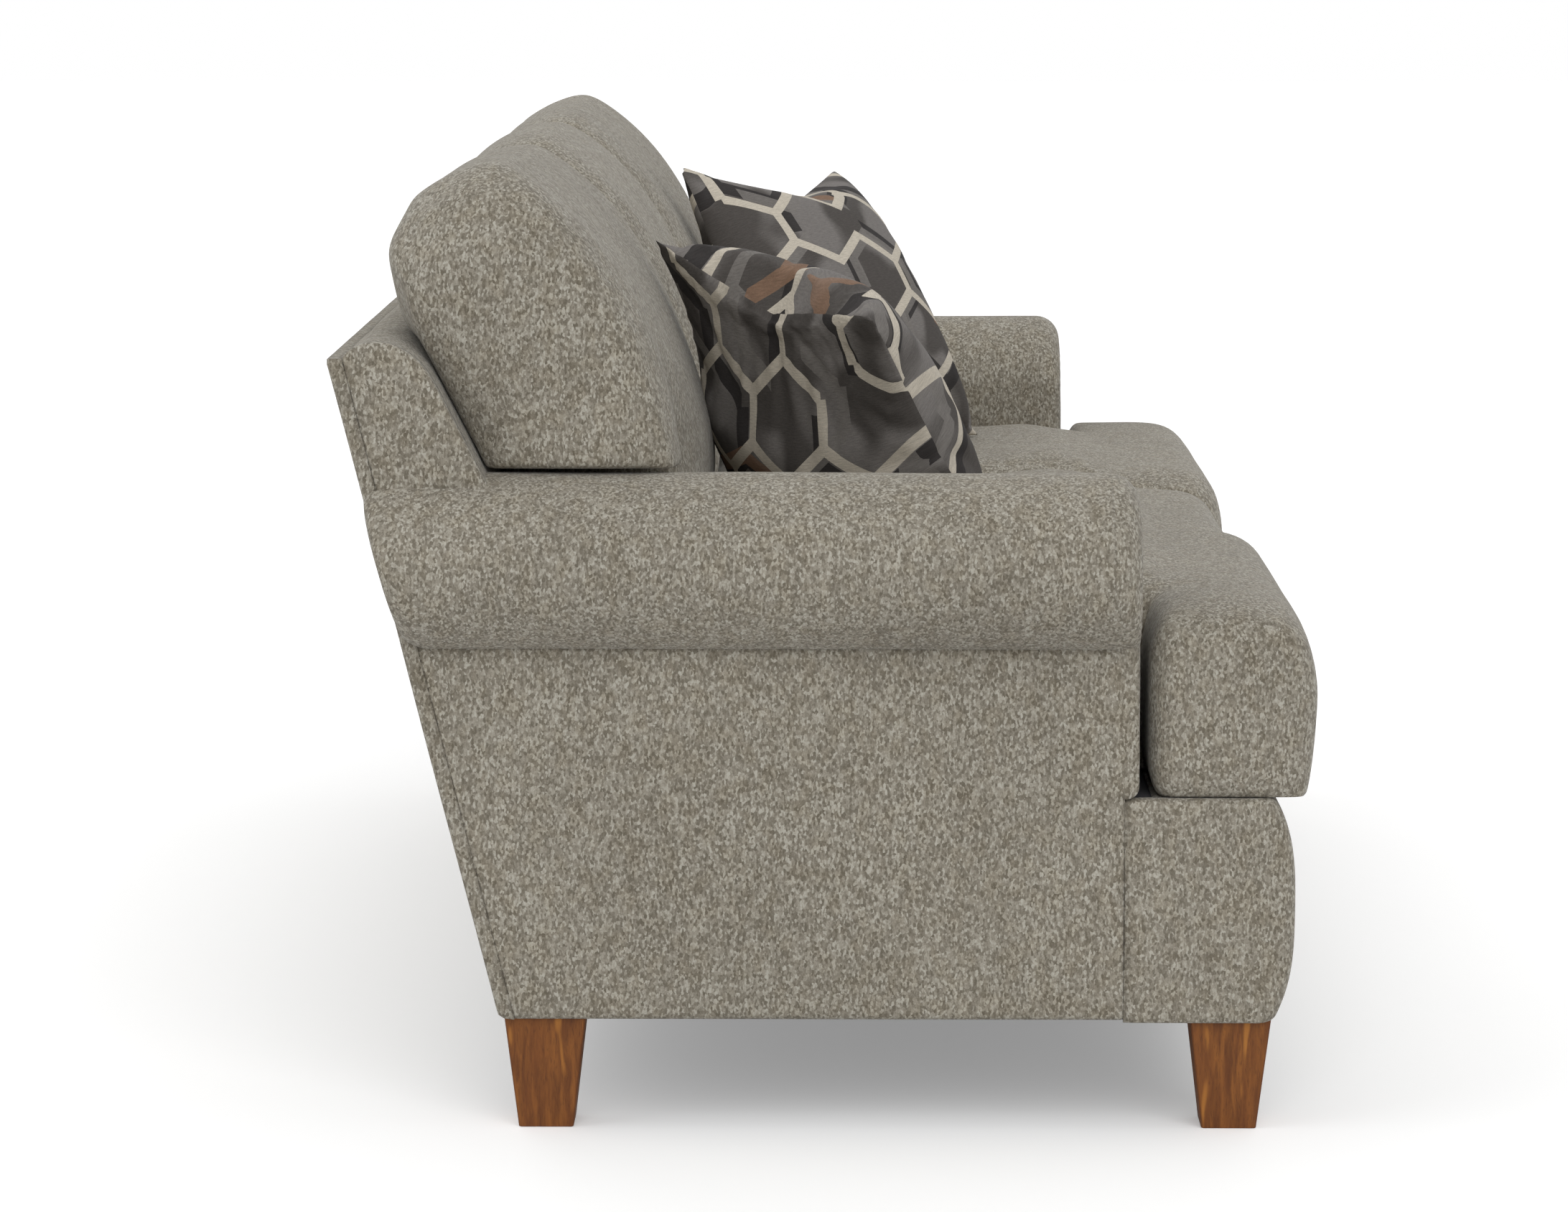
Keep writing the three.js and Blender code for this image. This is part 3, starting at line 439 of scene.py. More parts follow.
# Across the clip: its foot, the hat over the wire, and the longer nailed flange
hat = [(-7, -1.65), (-5, -1.65), (-3.8, 0), (-3.4, 1.8), (-2, 2.8), (2, 2.95), (5.4, 2.8), (6.9, 1.8),
       (7.3, 0), (8.5, -1.65), (16, -1.65)]
steel_row = set_row("steel_row", spring_steel)
for end, y, turn in (("front", spring_front, 1), ("rear", spring_rear, -1)):
    clip = small_part("spring_clip", *bent_strip([(turn * u, w) for u, w in hat], 1.1, 13, True))
    rail = [(x + 8, y, spring_z) for x in (spring_xs[0], spring_xs[-1])]
    set_along(f"spring_clips_{end}", steel_row, clip, [rail], "sofa_frame", "spring_steel", spring_pitch)


# Back webbing
# Seven upright jute straps and two cross ones, woven over and under each other, drawn tight and
# stapled to the lower and the top rail and to the posts.
def jute():
    strap = Finish("jute_webbing")
    x, z = strap.axes(strap.spot(), "XZ")
    cord = strap.sum("SINE", x * 2100)
    pick = strap.sum("SINE", z * 1800)
    knot = cord * pick
    hair = strap.speckle(strap.spot(), 700, 3, 0.7)
    band = strap.ease(abs(strap.sum("FRACT", x / 0.3318 + 0.5) - 0.5), 0.058, 0.06)
    colour = strap.blend(strap.ease(knot * 0.3 + hair, 0.2, 0.9), tint(140, 112, 72), tint(196, 170, 124))
    colour = strap.blend(band * 0.08, colour, tint(120, 94, 60))
    return strap.surface(colour, 0.5, 0.0006, knot * 0.5 + hair, 0.9 + hair * 0.08,
                         Specular_IOR_Level=0.2)


def woven_straps(finish):
    """Straps along flat paths that pass over and under each other by turns. Each path is marked with
    the distance between its crossings, and with where it starts in the turn."""
    weave = Growth("woven_straps", Steps="Int", Wide="Float", Thick="Float", Lift="Float")
    path = weave.node("MeshToCurve", None, {"Mesh": weave.given("Geometry")})
    path = weave.node("ResampleCurve", None, {"Curve": path, "Count": weave.given("Steps")})
    run = weave.node("SplineParameter", None, None, "Length")
    pitch, phase = (weave.node("InputNamedAttribute", {"data_type": "FLOAT"}, {"Name": name}, "Attribute")
                    for name in ("pitch", "phase"))
    lift = weave.sum("COSINE", (run / pitch + phase) * math.pi) * weave.given("Lift")
    lift = weave.node("CombineXYZ", None, {"Z": lift})
    path = weave.node("SetPosition", None, {"Geometry": path, "Offset": lift})
    section = {"Width": weave.given("Wide"), "Height": weave.given("Thick")}
    weave.sweep(path, weave.node("CurvePrimitiveQuadrilateral", None, section), finish)
    return weave


def node_box(node):
    """A CAD node's two corners, in millimetres."""
    return np.array(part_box(node)) * 1000


strap_wide, strap_thick, strap_rise, lean = 50, 0.9, 459.6, math.radians(63)
upright_count, cross_count = 7, 2
low, high = node_box("back_webbing")
up_xs = [(high[0] - low[0] - strap_wide) * (i / 6 - 0.5) for i in range(upright_count)]
cross_vs = [(strap_rise - strap_wide) * (k + 1) / 3 + strap_wide / 2 for k in range(cross_count)]
paths = [[(x, 0, 0), (x, strap_rise, 0)] for x in up_xs]
paths += [[(low[0], v, 0), (high[0], v, 0)] for v in cross_vs]
up_pitch, cross_pitch = cross_vs[1] - cross_vs[0], up_xs[1] - up_xs[0]
pitches = [up_pitch / 1000] * upright_count + [cross_pitch / 1000] * cross_count
phases = [i - cross_vs[0] / up_pitch for i in range(upright_count)]
phases += [k + 1 - strap_wide / 2 / cross_pitch for k in range(cross_count)]
mesh = woven_straps(jute()).grow(paths, {"pitch": pitches, "phase": phases},
                                 Steps=97, Wide=strap_wide, Thick=strap_thick, Lift=0.5)


def onto_back(u, v, w):
    """A place on the raked plane of the back webbing, from across, up and out of it."""
    return (u, low[1] + v * math.cos(lean) - w * math.sin(lean),
            low[2] + strap_thick + v * math.sin(lean) + w * math.cos(lean))


for point in mesh.vertices:
    point.co = Vector(onto_back(*(point.co * 1000)[:2], point.co.z * 1000 - 1)) / 1000
set_in("back_straps", mesh, "sofa_frame", "webbing", "back_webbing", smooth=False)


def staple():
    return small_part("staple", *bent_strip([(-5, -1.2), (-4.9, 0.2), (4.9, 0.2), (5, -1.2)], 0.7, 1.1))


off, proud = (-17, 17), 0.35
ends = [[onto_back(x + s, v, proud) for s in off] for x in up_xs for v in (14, 26, 440, 452)]
ends += [[onto_back(x, v + s, proud) for s in off] for v in cross_vs for x in (low[0] + 9, high[0] - 9)]
set_along("webbing_staples", steel_row, staple(), ends, "sofa_frame", "spring_steel", 17.0,
          up=(0, -math.sin(lean), math.cos(lean)), seed=4)


# Seat deck
# Dark decking cloth over a thin pad, drawn tight across the springs and tacked to the rails. Along
# the front, where a gap between cushions could bare it, a band of the cover cloth is sewn to it.
def plain_weave(name, dark, pale, threads, hairy, axes="XY"):
    """A matt cloth with a visible plain weave, threads given to the metre."""
    cloth = Finish(name)
    x, y = cloth.axes(cloth.spot(), axes)
    knot = cloth.sum("SINE", x * (threads * math.pi)) * cloth.sum("SINE", y * (threads * math.pi))
    hair = cloth.speckle(cloth.spot(), 800, 3, 0.7)
    cloud = cloth.speckle(cloth.spot((1, 1, 1), (4, 2, 1)), 9, 3)
    colour = cloth.blend(cloth.ease(knot * 0.25 + hair * hairy + cloud * 0.4, 0.1, 0.9), dark, pale)
    return cloth.surface(colour, 0.4, 0.0005, knot * 0.4 + hair, 0.9 + hair * 0.08,
                         Specular_IOR_Level=0.2)


def lines(start, stop, cell, crowd=0.8):
    """Grid lines over a span, closer together near both ends, where a padded edge turns."""
    count = max(6, int(round(abs(stop - start) / cell)))
    t = np.linspace(0, 1, count + 1)
    return start + (stop - start) * (t - crowd * np.sin(2 * np.pi * t) / (2 * np.pi))


def gridded(x, y, z):
    """A grid of points, from what changes across it, along it, or not at all."""
    return np.stack(np.broadcast_arrays(np.asarray(x, float), y, z), -1)


def slab(front, back):
    """A closed pad from a grid of points on its face and one on its back."""
    across, along = front.shape[:2]
    points = np.concatenate([front.reshape(-1, 3), back.reshape(-1, 3)])
    under = across * along
    at = np.arange(under).reshape(across, along)
    faces = []
    for i in range(across - 1):
        for j in range(along - 1):
            ring = (at[i, j], at[i + 1, j], at[i + 1, j + 1], at[i, j + 1])
            faces += [ring, tuple(under + k for k in ring[::-1])]
    rim = [*at[:, 0], *at[-1, 1:], *at[-2::-1, -1], *at[0, -2:0:-1]]
    for a, b in zip(rim, rim[1:] + rim[:1]):
        faces.append((b, a, a + under, b + under))
    return points, faces


def part_of(value):
    """A share, held between 0 and 1."""
    return np.clip(value, 0, 1)


def fall(distance, radius, drop):
    """How far a padded face falls towards an edge that is sewn down, rounded as a quarter circle."""
    t = part_of(1 - np.asarray(distance, float) / radius)
    return -drop * (1 - np.sqrt(1 - t * t))


def handwork(points, size=0.8, wave=170, seed=0):
    """Small unevenness that stuffing and hand pulling leave, as one height for each point."""
    heights = [noise.noise(Vector(p) / wave + Vector((seed, 0, 0))) for p in points.reshape(-1, 3)]
    return np.array(heights).reshape(points.shape[:-1]) * size


def piece(name, points, faces, finish, body, nodes, slot="cover_fabric", uv=None, smooth=True):
    """One piece from its points and faces. With uv, its print follows the cut of the cloth."""
    mesh = closed_mesh(name, points, faces)
    mesh.materials.append(finish)
    if uv is not None:
        loops = np.zeros(len(mesh.loops), np.int32)
        mesh.loops.foreach_get("vertex_index", loops)
        spots = np.asarray(uv, float)[loops].astype(np.float32)
        mesh.uv_layers.new(name="cut").data.foreach_set("uv", spots.ravel())
    return set_in(name, mesh, body, slot, *nodes, smooth=smooth)


deck_low, deck_high = node_box("seat_deck")
band_rear = -318


def deck_part(y_from, y_to, sewn):
    """A thin pad. Its top dips at the sewn line and wherever a spring's row bears it less."""
    xs, ys = lines(deck_low[0], deck_high[0], 26, 0.9), lines(y_from, y_to, 16, 0.8)
    grid = gridded(xs[:, None], ys, 0)
    between = 0.7 * (1 - np.cos(2 * np.pi * grid[..., 0] / spring_pitch)) / 2
    grid[..., 2] = deck_high[2] - 0.5 - between - np.abs(handwork(grid, 0.8, 120, 17))
    grid[..., 2] += fall(np.abs(ys - sewn), 7, 2)[None, :]
    grid[..., 2] += fall(np.minimum(xs - xs[0], xs[-1] - xs)[:, None], 6, 4)
    grid[..., 2] += fall(np.minimum(ys - deck_low[1], deck_high[1] - ys)[None, :], 6, 4)
    return slab(grid, gridded(xs[:, None], ys, deck_low[2] + 0.3))


decking = plain_weave("decking_cloth", tint(52, 52, 55), tint(84, 83, 86), 900, 0.7)
piece("seat_deck_cloth", *deck_part(band_rear + 0.4, deck_high[1], band_rear), decking,
                "sofa_frame", ["seat_deck"], slot="lining")
piece("seat_deck_front_band", *deck_part(deck_low[1], band_rear - 0.4, band_rear), cover_cloth,
                "sofa_frame", [])


def thread_stitch(long, thick):
    ball = bmesh.new()
    bmesh.ops.create_icosphere(ball, subdivisions=1, radius=1)
    points = [(p.co.x * long / 2, p.co.y * thick / 2, p.co.z * thick / 2) for p in ball.verts]
    faces = [[p.index for p in f.verts] for f in ball.faces]
    ball.free()
    return small_part("stitch", points, faces)


def thread():
    yarn = Finish("taupe_thread")
    ply = yarn.speckle(yarn.spot(), 2600, 2)
    colour = yarn.blend(yarn.ease(ply, 0.3, 0.7), tint(112, 106, 94), tint(158, 152, 138))
    return yarn.surface(colour, 0.4, 0.0002, ply, 0.75 + ply * 0.1)


thread_row = set_row("thread_row", thread())
stitch_xs = np.linspace(deck_low[0] + 20, deck_high[0] - 20, 60)
sewn = [(x, band_rear - 4, deck_high[2] - 1.1) for x in stitch_xs]
set_along("seat_deck_stitches", thread_row, thread_stitch(4.6, 1.0), [sewn], "sofa_frame", "cover_fabric",
          6.0, seed=5)


# Dust cover
# Thin black non-woven cloth under the base, to keep dust off the floor. It is cut to the rails'
# outer edges, its own edges are turned in, and it is stapled every 60 mm.
def non_woven():
    felt = Finish("non_woven_cloth")
    hair = felt.speckle(felt.spot(), 500, 4, 0.7, 1.5)
    x, y = felt.axes(felt.spot(), "XY")
    weld = (felt.sum("SINE", (x + y) * 1600) * felt.sum("SINE", (x - y) * 1600)) > 0.6
    colour = felt.blend(felt.ease(hair, 0.3, 0.7), tint(28, 28, 30), tint(56, 56, 60))
    colour = felt.blend(weld * 0.5, colour, tint(24, 24, 26))
    return felt.surface(colour, 0.4, 0.0004, hair - weld * 0.4, 0.85 + hair * 0.1,
                        Specular_IOR_Level=0.25)


def dust_cover():
    (x0, y0, _), (x1, y1, z1) = node_box("dust_cover")
    xs, ys = lines(x0, x1, 22, 0.9), lines(y0, y1, 18, 0.9)
    grid = gridded(xs[:, None], ys, z1 - 0.3)
    rim = np.minimum(np.minimum(xs - x0, x1 - xs)[:, None], np.minimum(ys - y0, y1 - ys)[None, :])
    turned_wide = 14
    turned_in = 0.5 * (rim < turned_wide)
    hang = 1 - part_of(1 - (rim - turned_wide) / 120) ** 2
    pull = 0.4 * np.cos(2 * np.pi * (grid[..., 0] + grid[..., 1]) / 60) * part_of(1 - rim / 45)
    back = grid.copy()
    back[..., 2] = z1 - 0.9 - turned_in - np.maximum(hang, 0) * 1.4
    back[..., 2] += pull * 0.5 - np.abs(handwork(grid, 0.6, 160, 19))
    grid[..., 2] = np.minimum(back[..., 2] + 0.6, z1 - 0.2)
    return slab(grid, back), (x1 - x0, y1 - y0), z1


(points, faces), cut_size, under_z = dust_cover()
made = piece("dust_cover_cloth", points, faces, non_woven(), "sofa_frame", ["dust_cover"], slot="lining")
rim_x, rim_front, rim_rear = cut_size[0] / 2 - 8, -415, 300
rim = [[(x, y, under_z - 1.7) for y in (rim_front, rim_rear)] for x in (-rim_x, rim_x)]
rim += [[(x, y, under_z - 1.7) for x in (-rim_x + 30, rim_x - 30)] for y in (rim_front, rim_rear)]
set_along("dust_cover_staples", steel_row, staple(), rim, "sofa_frame", "spring_steel", 60.0,
          up=(0, 0, -1), seed=6)


# Legs
# Square tapered blocks of solid hardwood, stained warm brown and lacquered, with eased edges whose
# colour is darker. Each hangs on a bolt in its corner block.
leg_top, leg_foot, leg_height, leg_ease = 80, 54, 112.7, 2.2


def stained_wood():
    wood = Finish("stained_hardwood")
    grain = wood.speckle(wood.spot((1, 1, 0.07), (0.3, 0.1, 0)), 150, 4, 0.6, 0.4)
    figure = wood.speckle(wood.spot((1, 1, 0.12), (1.3, 4.1, 0)), 34, 2, 0.5, 1.2)
    pores = wood.speckle(wood.spot((1, 1, 0.03), (7, 3, 0)), 900, 1, 0.5)
    streak = wood.ease(wood.speckle(wood.spot((1, 1, 0.1), (2.2, 5.3, 0)), 75, 1.5), 0.63, 0.72)
    colour = wood.blend(wood.ease(grain, 0.3, 0.72), tint(98, 54, 18), tint(146, 90, 36))
    colour = wood.blend(wood.ease(figure, 0.35, 0.68) * 0.5, colour, tint(120, 68, 26))
    colour = wood.blend(wood.ease(pores, 0.6, 0.7) * 0.4, colour, tint(66, 34, 12))
    colour = wood.blend(streak * 0.6, colour, tint(196, 130, 54))
    # The edge attribute darkens the colour: most on the rounding of the eased corners, a little on the
    # flat faces
    edge = wood.node("Attribute", {"attribute_name": "edge"}, None, "Fac")
    colour = wood.blend(edge * 0.6, colour, tint(84, 44, 18))
    return wood.surface(colour, 0.25, 0.0006, grain - pores * 0.5, 0.5 + grain * 0.14,
                        Specular_IOR_Level=0.3, Coat_Weight=0.1, Coat_Roughness=0.35)


leg_wood = stained_wood()


def walls(rings, count):
    """The faces between rings that have equally many points."""
    return [(k * count + i, k * count + j, (k + 1) * count + j, (k + 1) * count + i)
            for k in range(rings - 1) for i, j in zip(range(count), [*range(1, count), 0])]


def leg(low, high):
    """A tapered block on a fine grid, its corners and rims eased, for the box of its CAD leg."""
    middle = ((low[0] + high[0]) / 2, (low[1] + high[1]) / 2)
    heights = [0, *np.linspace(leg_ease * 0.4, leg_height - leg_ease * 0.4, 12), leg_height]
    points = []
    corner = [(sx, sy, a) for sx, sy, start in ((1, -1, -90), (1, 1, 0), (-1, 1, 90), (-1, -1, 180))
              for a in np.radians(start + np.array([0, 30, 60, 90]))]
    for z in heights:
        half = (leg_foot + (leg_top - leg_foot) * z / leg_height) / 2
        half -= leg_ease * 0.5 if z in (0, leg_height) else 0
        for sx, sy, a in corner:
            points.append((middle[0] + sx * (half - leg_ease) + leg_ease * math.cos(a),
                           middle[1] + sy * (half - leg_ease) + leg_ease * math.sin(a), z))
    ring = len(corner)
    ends = [range(ring)[::-1], range(len(points) - ring, len(points))]
    return points, walls(len(heights), ring) + ends


for corner in corners:
    low, high = node_box(f"leg_{corner}")
    made = piece(f"turned_in_leg_{corner}", *leg(low, high), leg_wood, "sofa_frame", [f"leg_{corner}"],
                 slot="leg_wood", smooth=False)
    # Colour darker on the rounding of each corner, and a little darker on the flat faces
    darker_edges = [0.8 if k % 4 in (1, 2) else 0.25 for k in range(len(made.data.vertices))]
    made.data.attributes.new("edge", "FLOAT", "POINT").data.foreach_set("value", darker_edges)


# Arms
# Each arm is a padded roll on a board, one cover up the inner face and over the roll, pulled tight
# under it, with a soft front edge and a facing let into the front.
outer_x, inner_x, roll_x, roll_z = 1060, 900, 1010, 560
roll_across, roll_up, pad_depth = 110, 88, 14
arm_front, panel_front = -304.3, -290
hem, deck, back_top, welt = 112.9, 333.3, 764, 12.4
front_radius, edge_radius = 30, 13
outer_y, outer_lean = 484.3, math.radians(14.1)
inner_y, inner_lean = 394.3, math.radians(27)
crease_angle = math.acos((outer_x - roll_x) / roll_across)
crease_z = roll_z - roll_up * math.sin(crease_angle)


def outside_back(z):
    return outer_y - math.tan(outer_lean) * (back_top - z)


def inside_back(z):
    return inner_y - math.tan(inner_lean) * (back_top - z)


def roll_share(z):
    """0 on the flat sides of the arm, 1 on its roll."""
    return part_of((z - 478) / 70)


def rim_radius(z):
    """The soft front edge is full round the roll and tight down the sides."""
    return edge_radius + (front_radius - edge_radius) * roll_share(z)


def roll_arc(count, past=0.0):
    turn = np.linspace(math.pi, -crease_angle - past, count)
    return np.stack([roll_x + roll_across * np.cos(turn), roll_z + roll_up * np.sin(turn)], 1)


def arm_cover():
    """Up the inner face, over the roll and under to the crease, and from the soft front edge back."""
    rise = np.stack([np.full(22, inner_x), np.linspace(deck, roll_z, 22)], 1)
    profile = np.concatenate([rise[:-1], roll_arc(60, 0.45)])
    start = arm_front + rim_radius(profile[:, 1]) - 2
    hidden = np.interp(profile[:, 0], [1036, 1048], [0, 1])
    hidden[:21] = 0
    stop = np.array([(1 - h) * (inside_back(z) + 30) + h * (outside_back(z) - 0.6)
                     for h, (x, z) in zip(hidden, profile)])
    steps = lines(0, 1, 0.012, 0.5)
    grid = gridded(profile[:, :1], start[:, None] + (stop - start)[:, None] * steps, profile[:, 1:])
    outward = profile - np.array([roll_x, roll_z - 40])
    outward /= np.linalg.norm(outward, axis=1)[:, None]
    outward = gridded(outward[:, :1], 0, outward[:, 1:])
    uneven = handwork(grid, 1.1, 150, 3)
    uneven *= part_of((grid[..., 2] - 520) / 60) * part_of((grid[..., 1] - arm_front) / 60)
    tail = np.array([fall(outside_back(z) - grid[i, :, 1], 26, 13) if hidden[i] > 0.5 else 0 * steps
                     for i, (x, z) in enumerate(profile)])
    grid += (uneven + tail)[..., None] * outward
    return slab(grid, grid - pad_depth * outward)


def arm_facing():
    """The arm's front: a soft rim that gathers the cover, a sewn line, and a slightly domed panel."""
    up = [(inner_x, z) for z in np.linspace(deck, roll_z, 26)[:-1]]
    over = roll_arc(90)
    down = [(outer_x, z) for z in np.linspace(crease_z, deck, 20)[1:]]
    foot = [(x, deck) for x in np.linspace(outer_x, inner_x, 20)[1:-1]]
    outline = np.array([*up, *over, *down, *foot])
    centre = np.array([987, 500])  # of the facing's panel, inside its outline from every side
    arm = outline - centre
    reach = np.linalg.norm(arm, axis=1)[:, None]
    on_roll = roll_share(outline[:, 1])
    rim = rim_radius(outline[:, 1])
    seam = 24 + 22 * on_roll
    pleat_pitch, pleat_deep = 19, 1.6
    along = np.cumsum(np.linalg.norm(np.roll(outline, -1, 0) - outline, axis=1))
    gather = part_of(1.6 * np.cos(2 * np.pi * along / pleat_pitch) - 0.7) * on_roll
    rings = [(0.7 + 0 * rim, arm_front + rim + 9)]
    for turn in np.radians(np.linspace(0, 90, 9)):
        inset = rim * (1 - np.cos(turn))
        deep = gather * pleat_deep * math.sin(turn) ** 3
        rings.append((inset, arm_front + rim * (1 - math.sin(turn)) + deep))
    for t in np.linspace(0, 1, 8)[1:]:
        rings.append((rim + (seam - rim) * t, arm_front + gather * (pleat_deep - 0.4 * t) + 3.2 * t ** 6))
    for t, dome in ((0.08, 2.2), (0.16, 0.2), (0.3, -1.2), (0.5, -2), (0.75, -2.6), (0.92, -2.8)):
        rings.append((seam + (reach[:, 0] - seam) * t, np.full(len(outline), arm_front + dome)))
    points, count = [], len(outline)
    points += [(x, arm_front + r + 12, z) for (x, z), r in zip(outline - arm / reach * 8, rim)]
    for inset, y in rings:
        at = outline - arm / reach * np.asarray(inset)[:, None]
        points += [(x, yy, z) for (x, z), yy in zip(at, y)]
    points += [(centre[0], arm_front - 2.9, centre[1]), (centre[0], arm_front + 14, centre[1])]
    faces = walls(len(rings) + 1, count)
    last = len(rings) * count
    for i in range(count):
        j = (i + 1) % count
        faces += [(last + i, last + j, last + count), (j, i, last + count + 1)]
    return points, faces


def pair(name, points, faces, finish, bodies, nodes, **more):
    """A piece drawn for the right side and its twin across the sofa's middle."""
    for side, flip in (("left", -1), ("right", 1)):
        body, *stands_for = (n.replace("SIDE", side) for n in (bodies, *nodes))
        yield piece(f"{name}_{side}", np.asarray(points, float) * (flip, 1, 1),
                    [f[::flip] for f in faces], finish, body, stands_for, **more)


def upholster(name, cut, *nodes):
    """A tight cover over its pad, or one for each side where the node's name says SIDE."""
    make = pair if "SIDE" in nodes[0] else lambda *given: [piece(*given)]
    for made in make(name, *cut, cover_cloth, "sofa_frame", nodes):
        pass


upholster("arm_roll_cover", arm_cover(), "inside_arm_SIDE")
upholster("arm_front_facing", arm_facing(), "arm_facing_SIDE")


def outer_panel():
    """The flat outer side, sewn to the front border, the outside back and up under the roll."""
    us, vs = lines(0, 1, 0.022)[:, None], lines(0, 1, 0.03)
    z = hem + vs * (crease_z + 2 - hem)
    rear = outside_back(z) - welt
    y = panel_front + us * (rear - panel_front)
    lift = fall(y - panel_front, 6, np.where(z < deck, 2.2, 0.55)) + fall(rear - y, 4, 1)
    lift = lift + fall(z - hem, 8, 5) + fall(crease_z + 2 - z, 16, 7)
    grid = gridded(outer_x + lift, y, z)
    crown = 3 * np.sin(np.pi * us) ** 0.6 * np.sin(np.pi * np.minimum(vs * 1.1, 1)) ** 0.6
    grid[..., 0] += crown + handwork(grid, 0.8, 200, 5)
    return slab(grid, gridded(outer_x - pad_depth, y, z))


upholster("outer_arm_cover", outer_panel(), "outer_arm_panel_SIDE")


# Back
# Cotton felt and one tight cover over the frame: a panel at each end, the inside and its soft top,
# and an outside back that is blind tacked under the top and stapled below.
crest_foot = 735
crest = np.array([(379.5, crest_foot), (389, 752), (402, 766), (418, 776), (434, 780.5), (452, 779),
                  (465, 772.5), (471.8, 765)])


def smooth_curve(points, count):
    """A curve through the points, at even steps along its length."""
    points = np.asarray(points, float)
    length = np.concatenate([[0], np.cumsum(np.linalg.norm(np.diff(points, axis=0), axis=1))])
    t = np.linspace(0, length[-1], 8 * len(points))
    fine = np.stack([np.interp(t, length, points[:, k]) for k in range(points.shape[1])], 1)
    for _ in range(10):
        fine[1:-1] = (fine[:-2] + 2 * fine[1:-1] + fine[2:]) / 4
    length = np.concatenate([[0], np.cumsum(np.linalg.norm(np.diff(fine, axis=0), axis=1))])
    t = np.linspace(0, length[-1], count)
    return np.stack([np.interp(t, length, fine[:, k]) for k in range(points.shape[1])], 1)


def back_end_panel():
    bottom = 634
    top = smooth_curve(crest, 40)
    low = np.full((40, 2), float(bottom))
    low[:, 0] = np.linspace(inside_back(bottom), outside_back(bottom) - 12.7, 40)
    vs = lines(0, 1, 0.045)
    y, z = (low[:, k, None] + (top - low)[:, k, None] * vs for k in range(2))
    grid = gridded(0, y, z)
    across = np.linspace(0, 1, 40)[:, None]
    wide = (grid[-1:, :, 1] - grid[:1, :, 1])
    up = (top[:, 1] - bottom)[:, None] * (1 - vs)[None, :]
    lift = fall(across * wide, 6, 5) + fall((1 - across) * wide, 4, 1) + fall(up, 8, 6)
    crown = 2.5 * np.sin(np.pi * across) * np.sin(np.pi * vs)
    grid[..., 0] = outer_x + np.maximum(lift, -12) + crown
    return slab(grid, gridded(outer_x - pad_depth - 2, y, z))


upholster("back_end_cover", back_end_panel(), "back_side_panel_SIDE")


def inside_back_cover():
    wall = [(inside_back(z), z) for z in np.linspace(deck, crest_foot, 40)[:-1]]
    profile = np.concatenate([wall, smooth_curve(crest, 26)])
    xs = lines(-outer_x + pad_depth, outer_x - pad_depth, 34, 0.9)
    normal = gridded(0, *square_to(np.gradient(profile, axis=0)).T)
    grid = gridded(xs[:, None], *profile.T)
    lift = handwork(grid, 1.2, 140, 7) * part_of((grid[..., 2] - 640) / 60)
    grid += lift[..., None] * normal
    return slab(grid, grid - 16 * normal)


upholster("inside_back_cover", inside_back_cover(), "inside_back_pad")


def outside_back_cover():
    xs, zs = lines(-outer_x, outer_x, 36, 0.9)[:, None], lines(hem, back_top, 30, 0.85)
    lift = fall(np.minimum(xs - xs[0], xs[-1] - xs), 5, 3)
    lift = lift + fall(back_top - zs, 3, 1.5) + fall(zs - hem, 8, 5)
    hollow = np.sin(np.linspace(0, np.pi, len(xs)))[:, None] * np.sin(np.linspace(0, np.pi, len(zs)))
    lift = lift + 3.5 - 2 * np.maximum(hollow, 0) ** 0.5
    lift = lift + handwork(gridded(xs, 0, zs), 1.0, 260, 11)
    plane = outside_back(zs)
    return slab(gridded(xs, plane + lift * math.cos(outer_lean), zs - lift * math.sin(outer_lean)),
                gridded(xs, plane - welt, zs))


upholster("outside_back_cover", outside_back_cover(), "outside_back_panel")


# Front border
# A bowed band of cover over a rolled edge. It goes round both front corners to a seam on each side,
# and its hem hangs three millimetres lower than the arms' panels.
border_y, border_bow, border_drop, border_corner, border_tall = -438.3, 21, 3, 18, 223


def front_border():
    round_x, round_y = outer_x - border_corner, border_y + border_corner
    corner = [(round_x + border_corner * math.sin(a), round_y - border_corner * math.cos(a), a)
              for a in np.radians(np.linspace(0, 90, 9))]
    half = [(x, border_y, 0.0) for x in lines(0, round_x, 26, 0)[:-1]] + corner
    half += [(outer_x, y, math.pi / 2) for y in np.linspace(round_y, panel_front - 0.4, 14)[1:]]
    x, y, turn = np.array([(-x, y, -a) for x, y, a in half[:0:-1]] + half).T[..., None]
    out_x, out_y = np.sin(turn), -np.cos(turn)
    t = lines(0, 1, 0.03, 0.8)
    end = np.abs(np.minimum(y - panel_front, 0)) + (np.abs(x) < outer_x - 0.5) * 100
    bow = border_bow * (1 - abs(2 * t - 1) ** 3)
    ease = fall(t * border_tall, 7, 5) + fall((1 - t) * border_tall, 9, 7) + fall(end, 7, 3)
    lift = ease + bow * np.cos(turn) ** 2
    z = hem - border_drop + t * (deck - hem + border_drop)
    grid = gridded(x + out_x * lift, y + out_y * lift, z)
    grid[..., 1] -= handwork(grid, 1.0, 180, 13)
    return slab(grid, gridded(x - out_x * pad_depth, y - out_y * pad_depth, z))


upholster("front_border_cover", front_border(), "front_border")


# Seat cushions
# A foam core in a wrap of down fibre and a zipped cover. Each is cut to a plan with two seams and a
# boxing strip between them, then blown up as cloth, so the seams pull in and the faces crown.
def swell(distance, reach):
    return np.sqrt(1 - (1 - part_of(distance / reach)) ** 2)


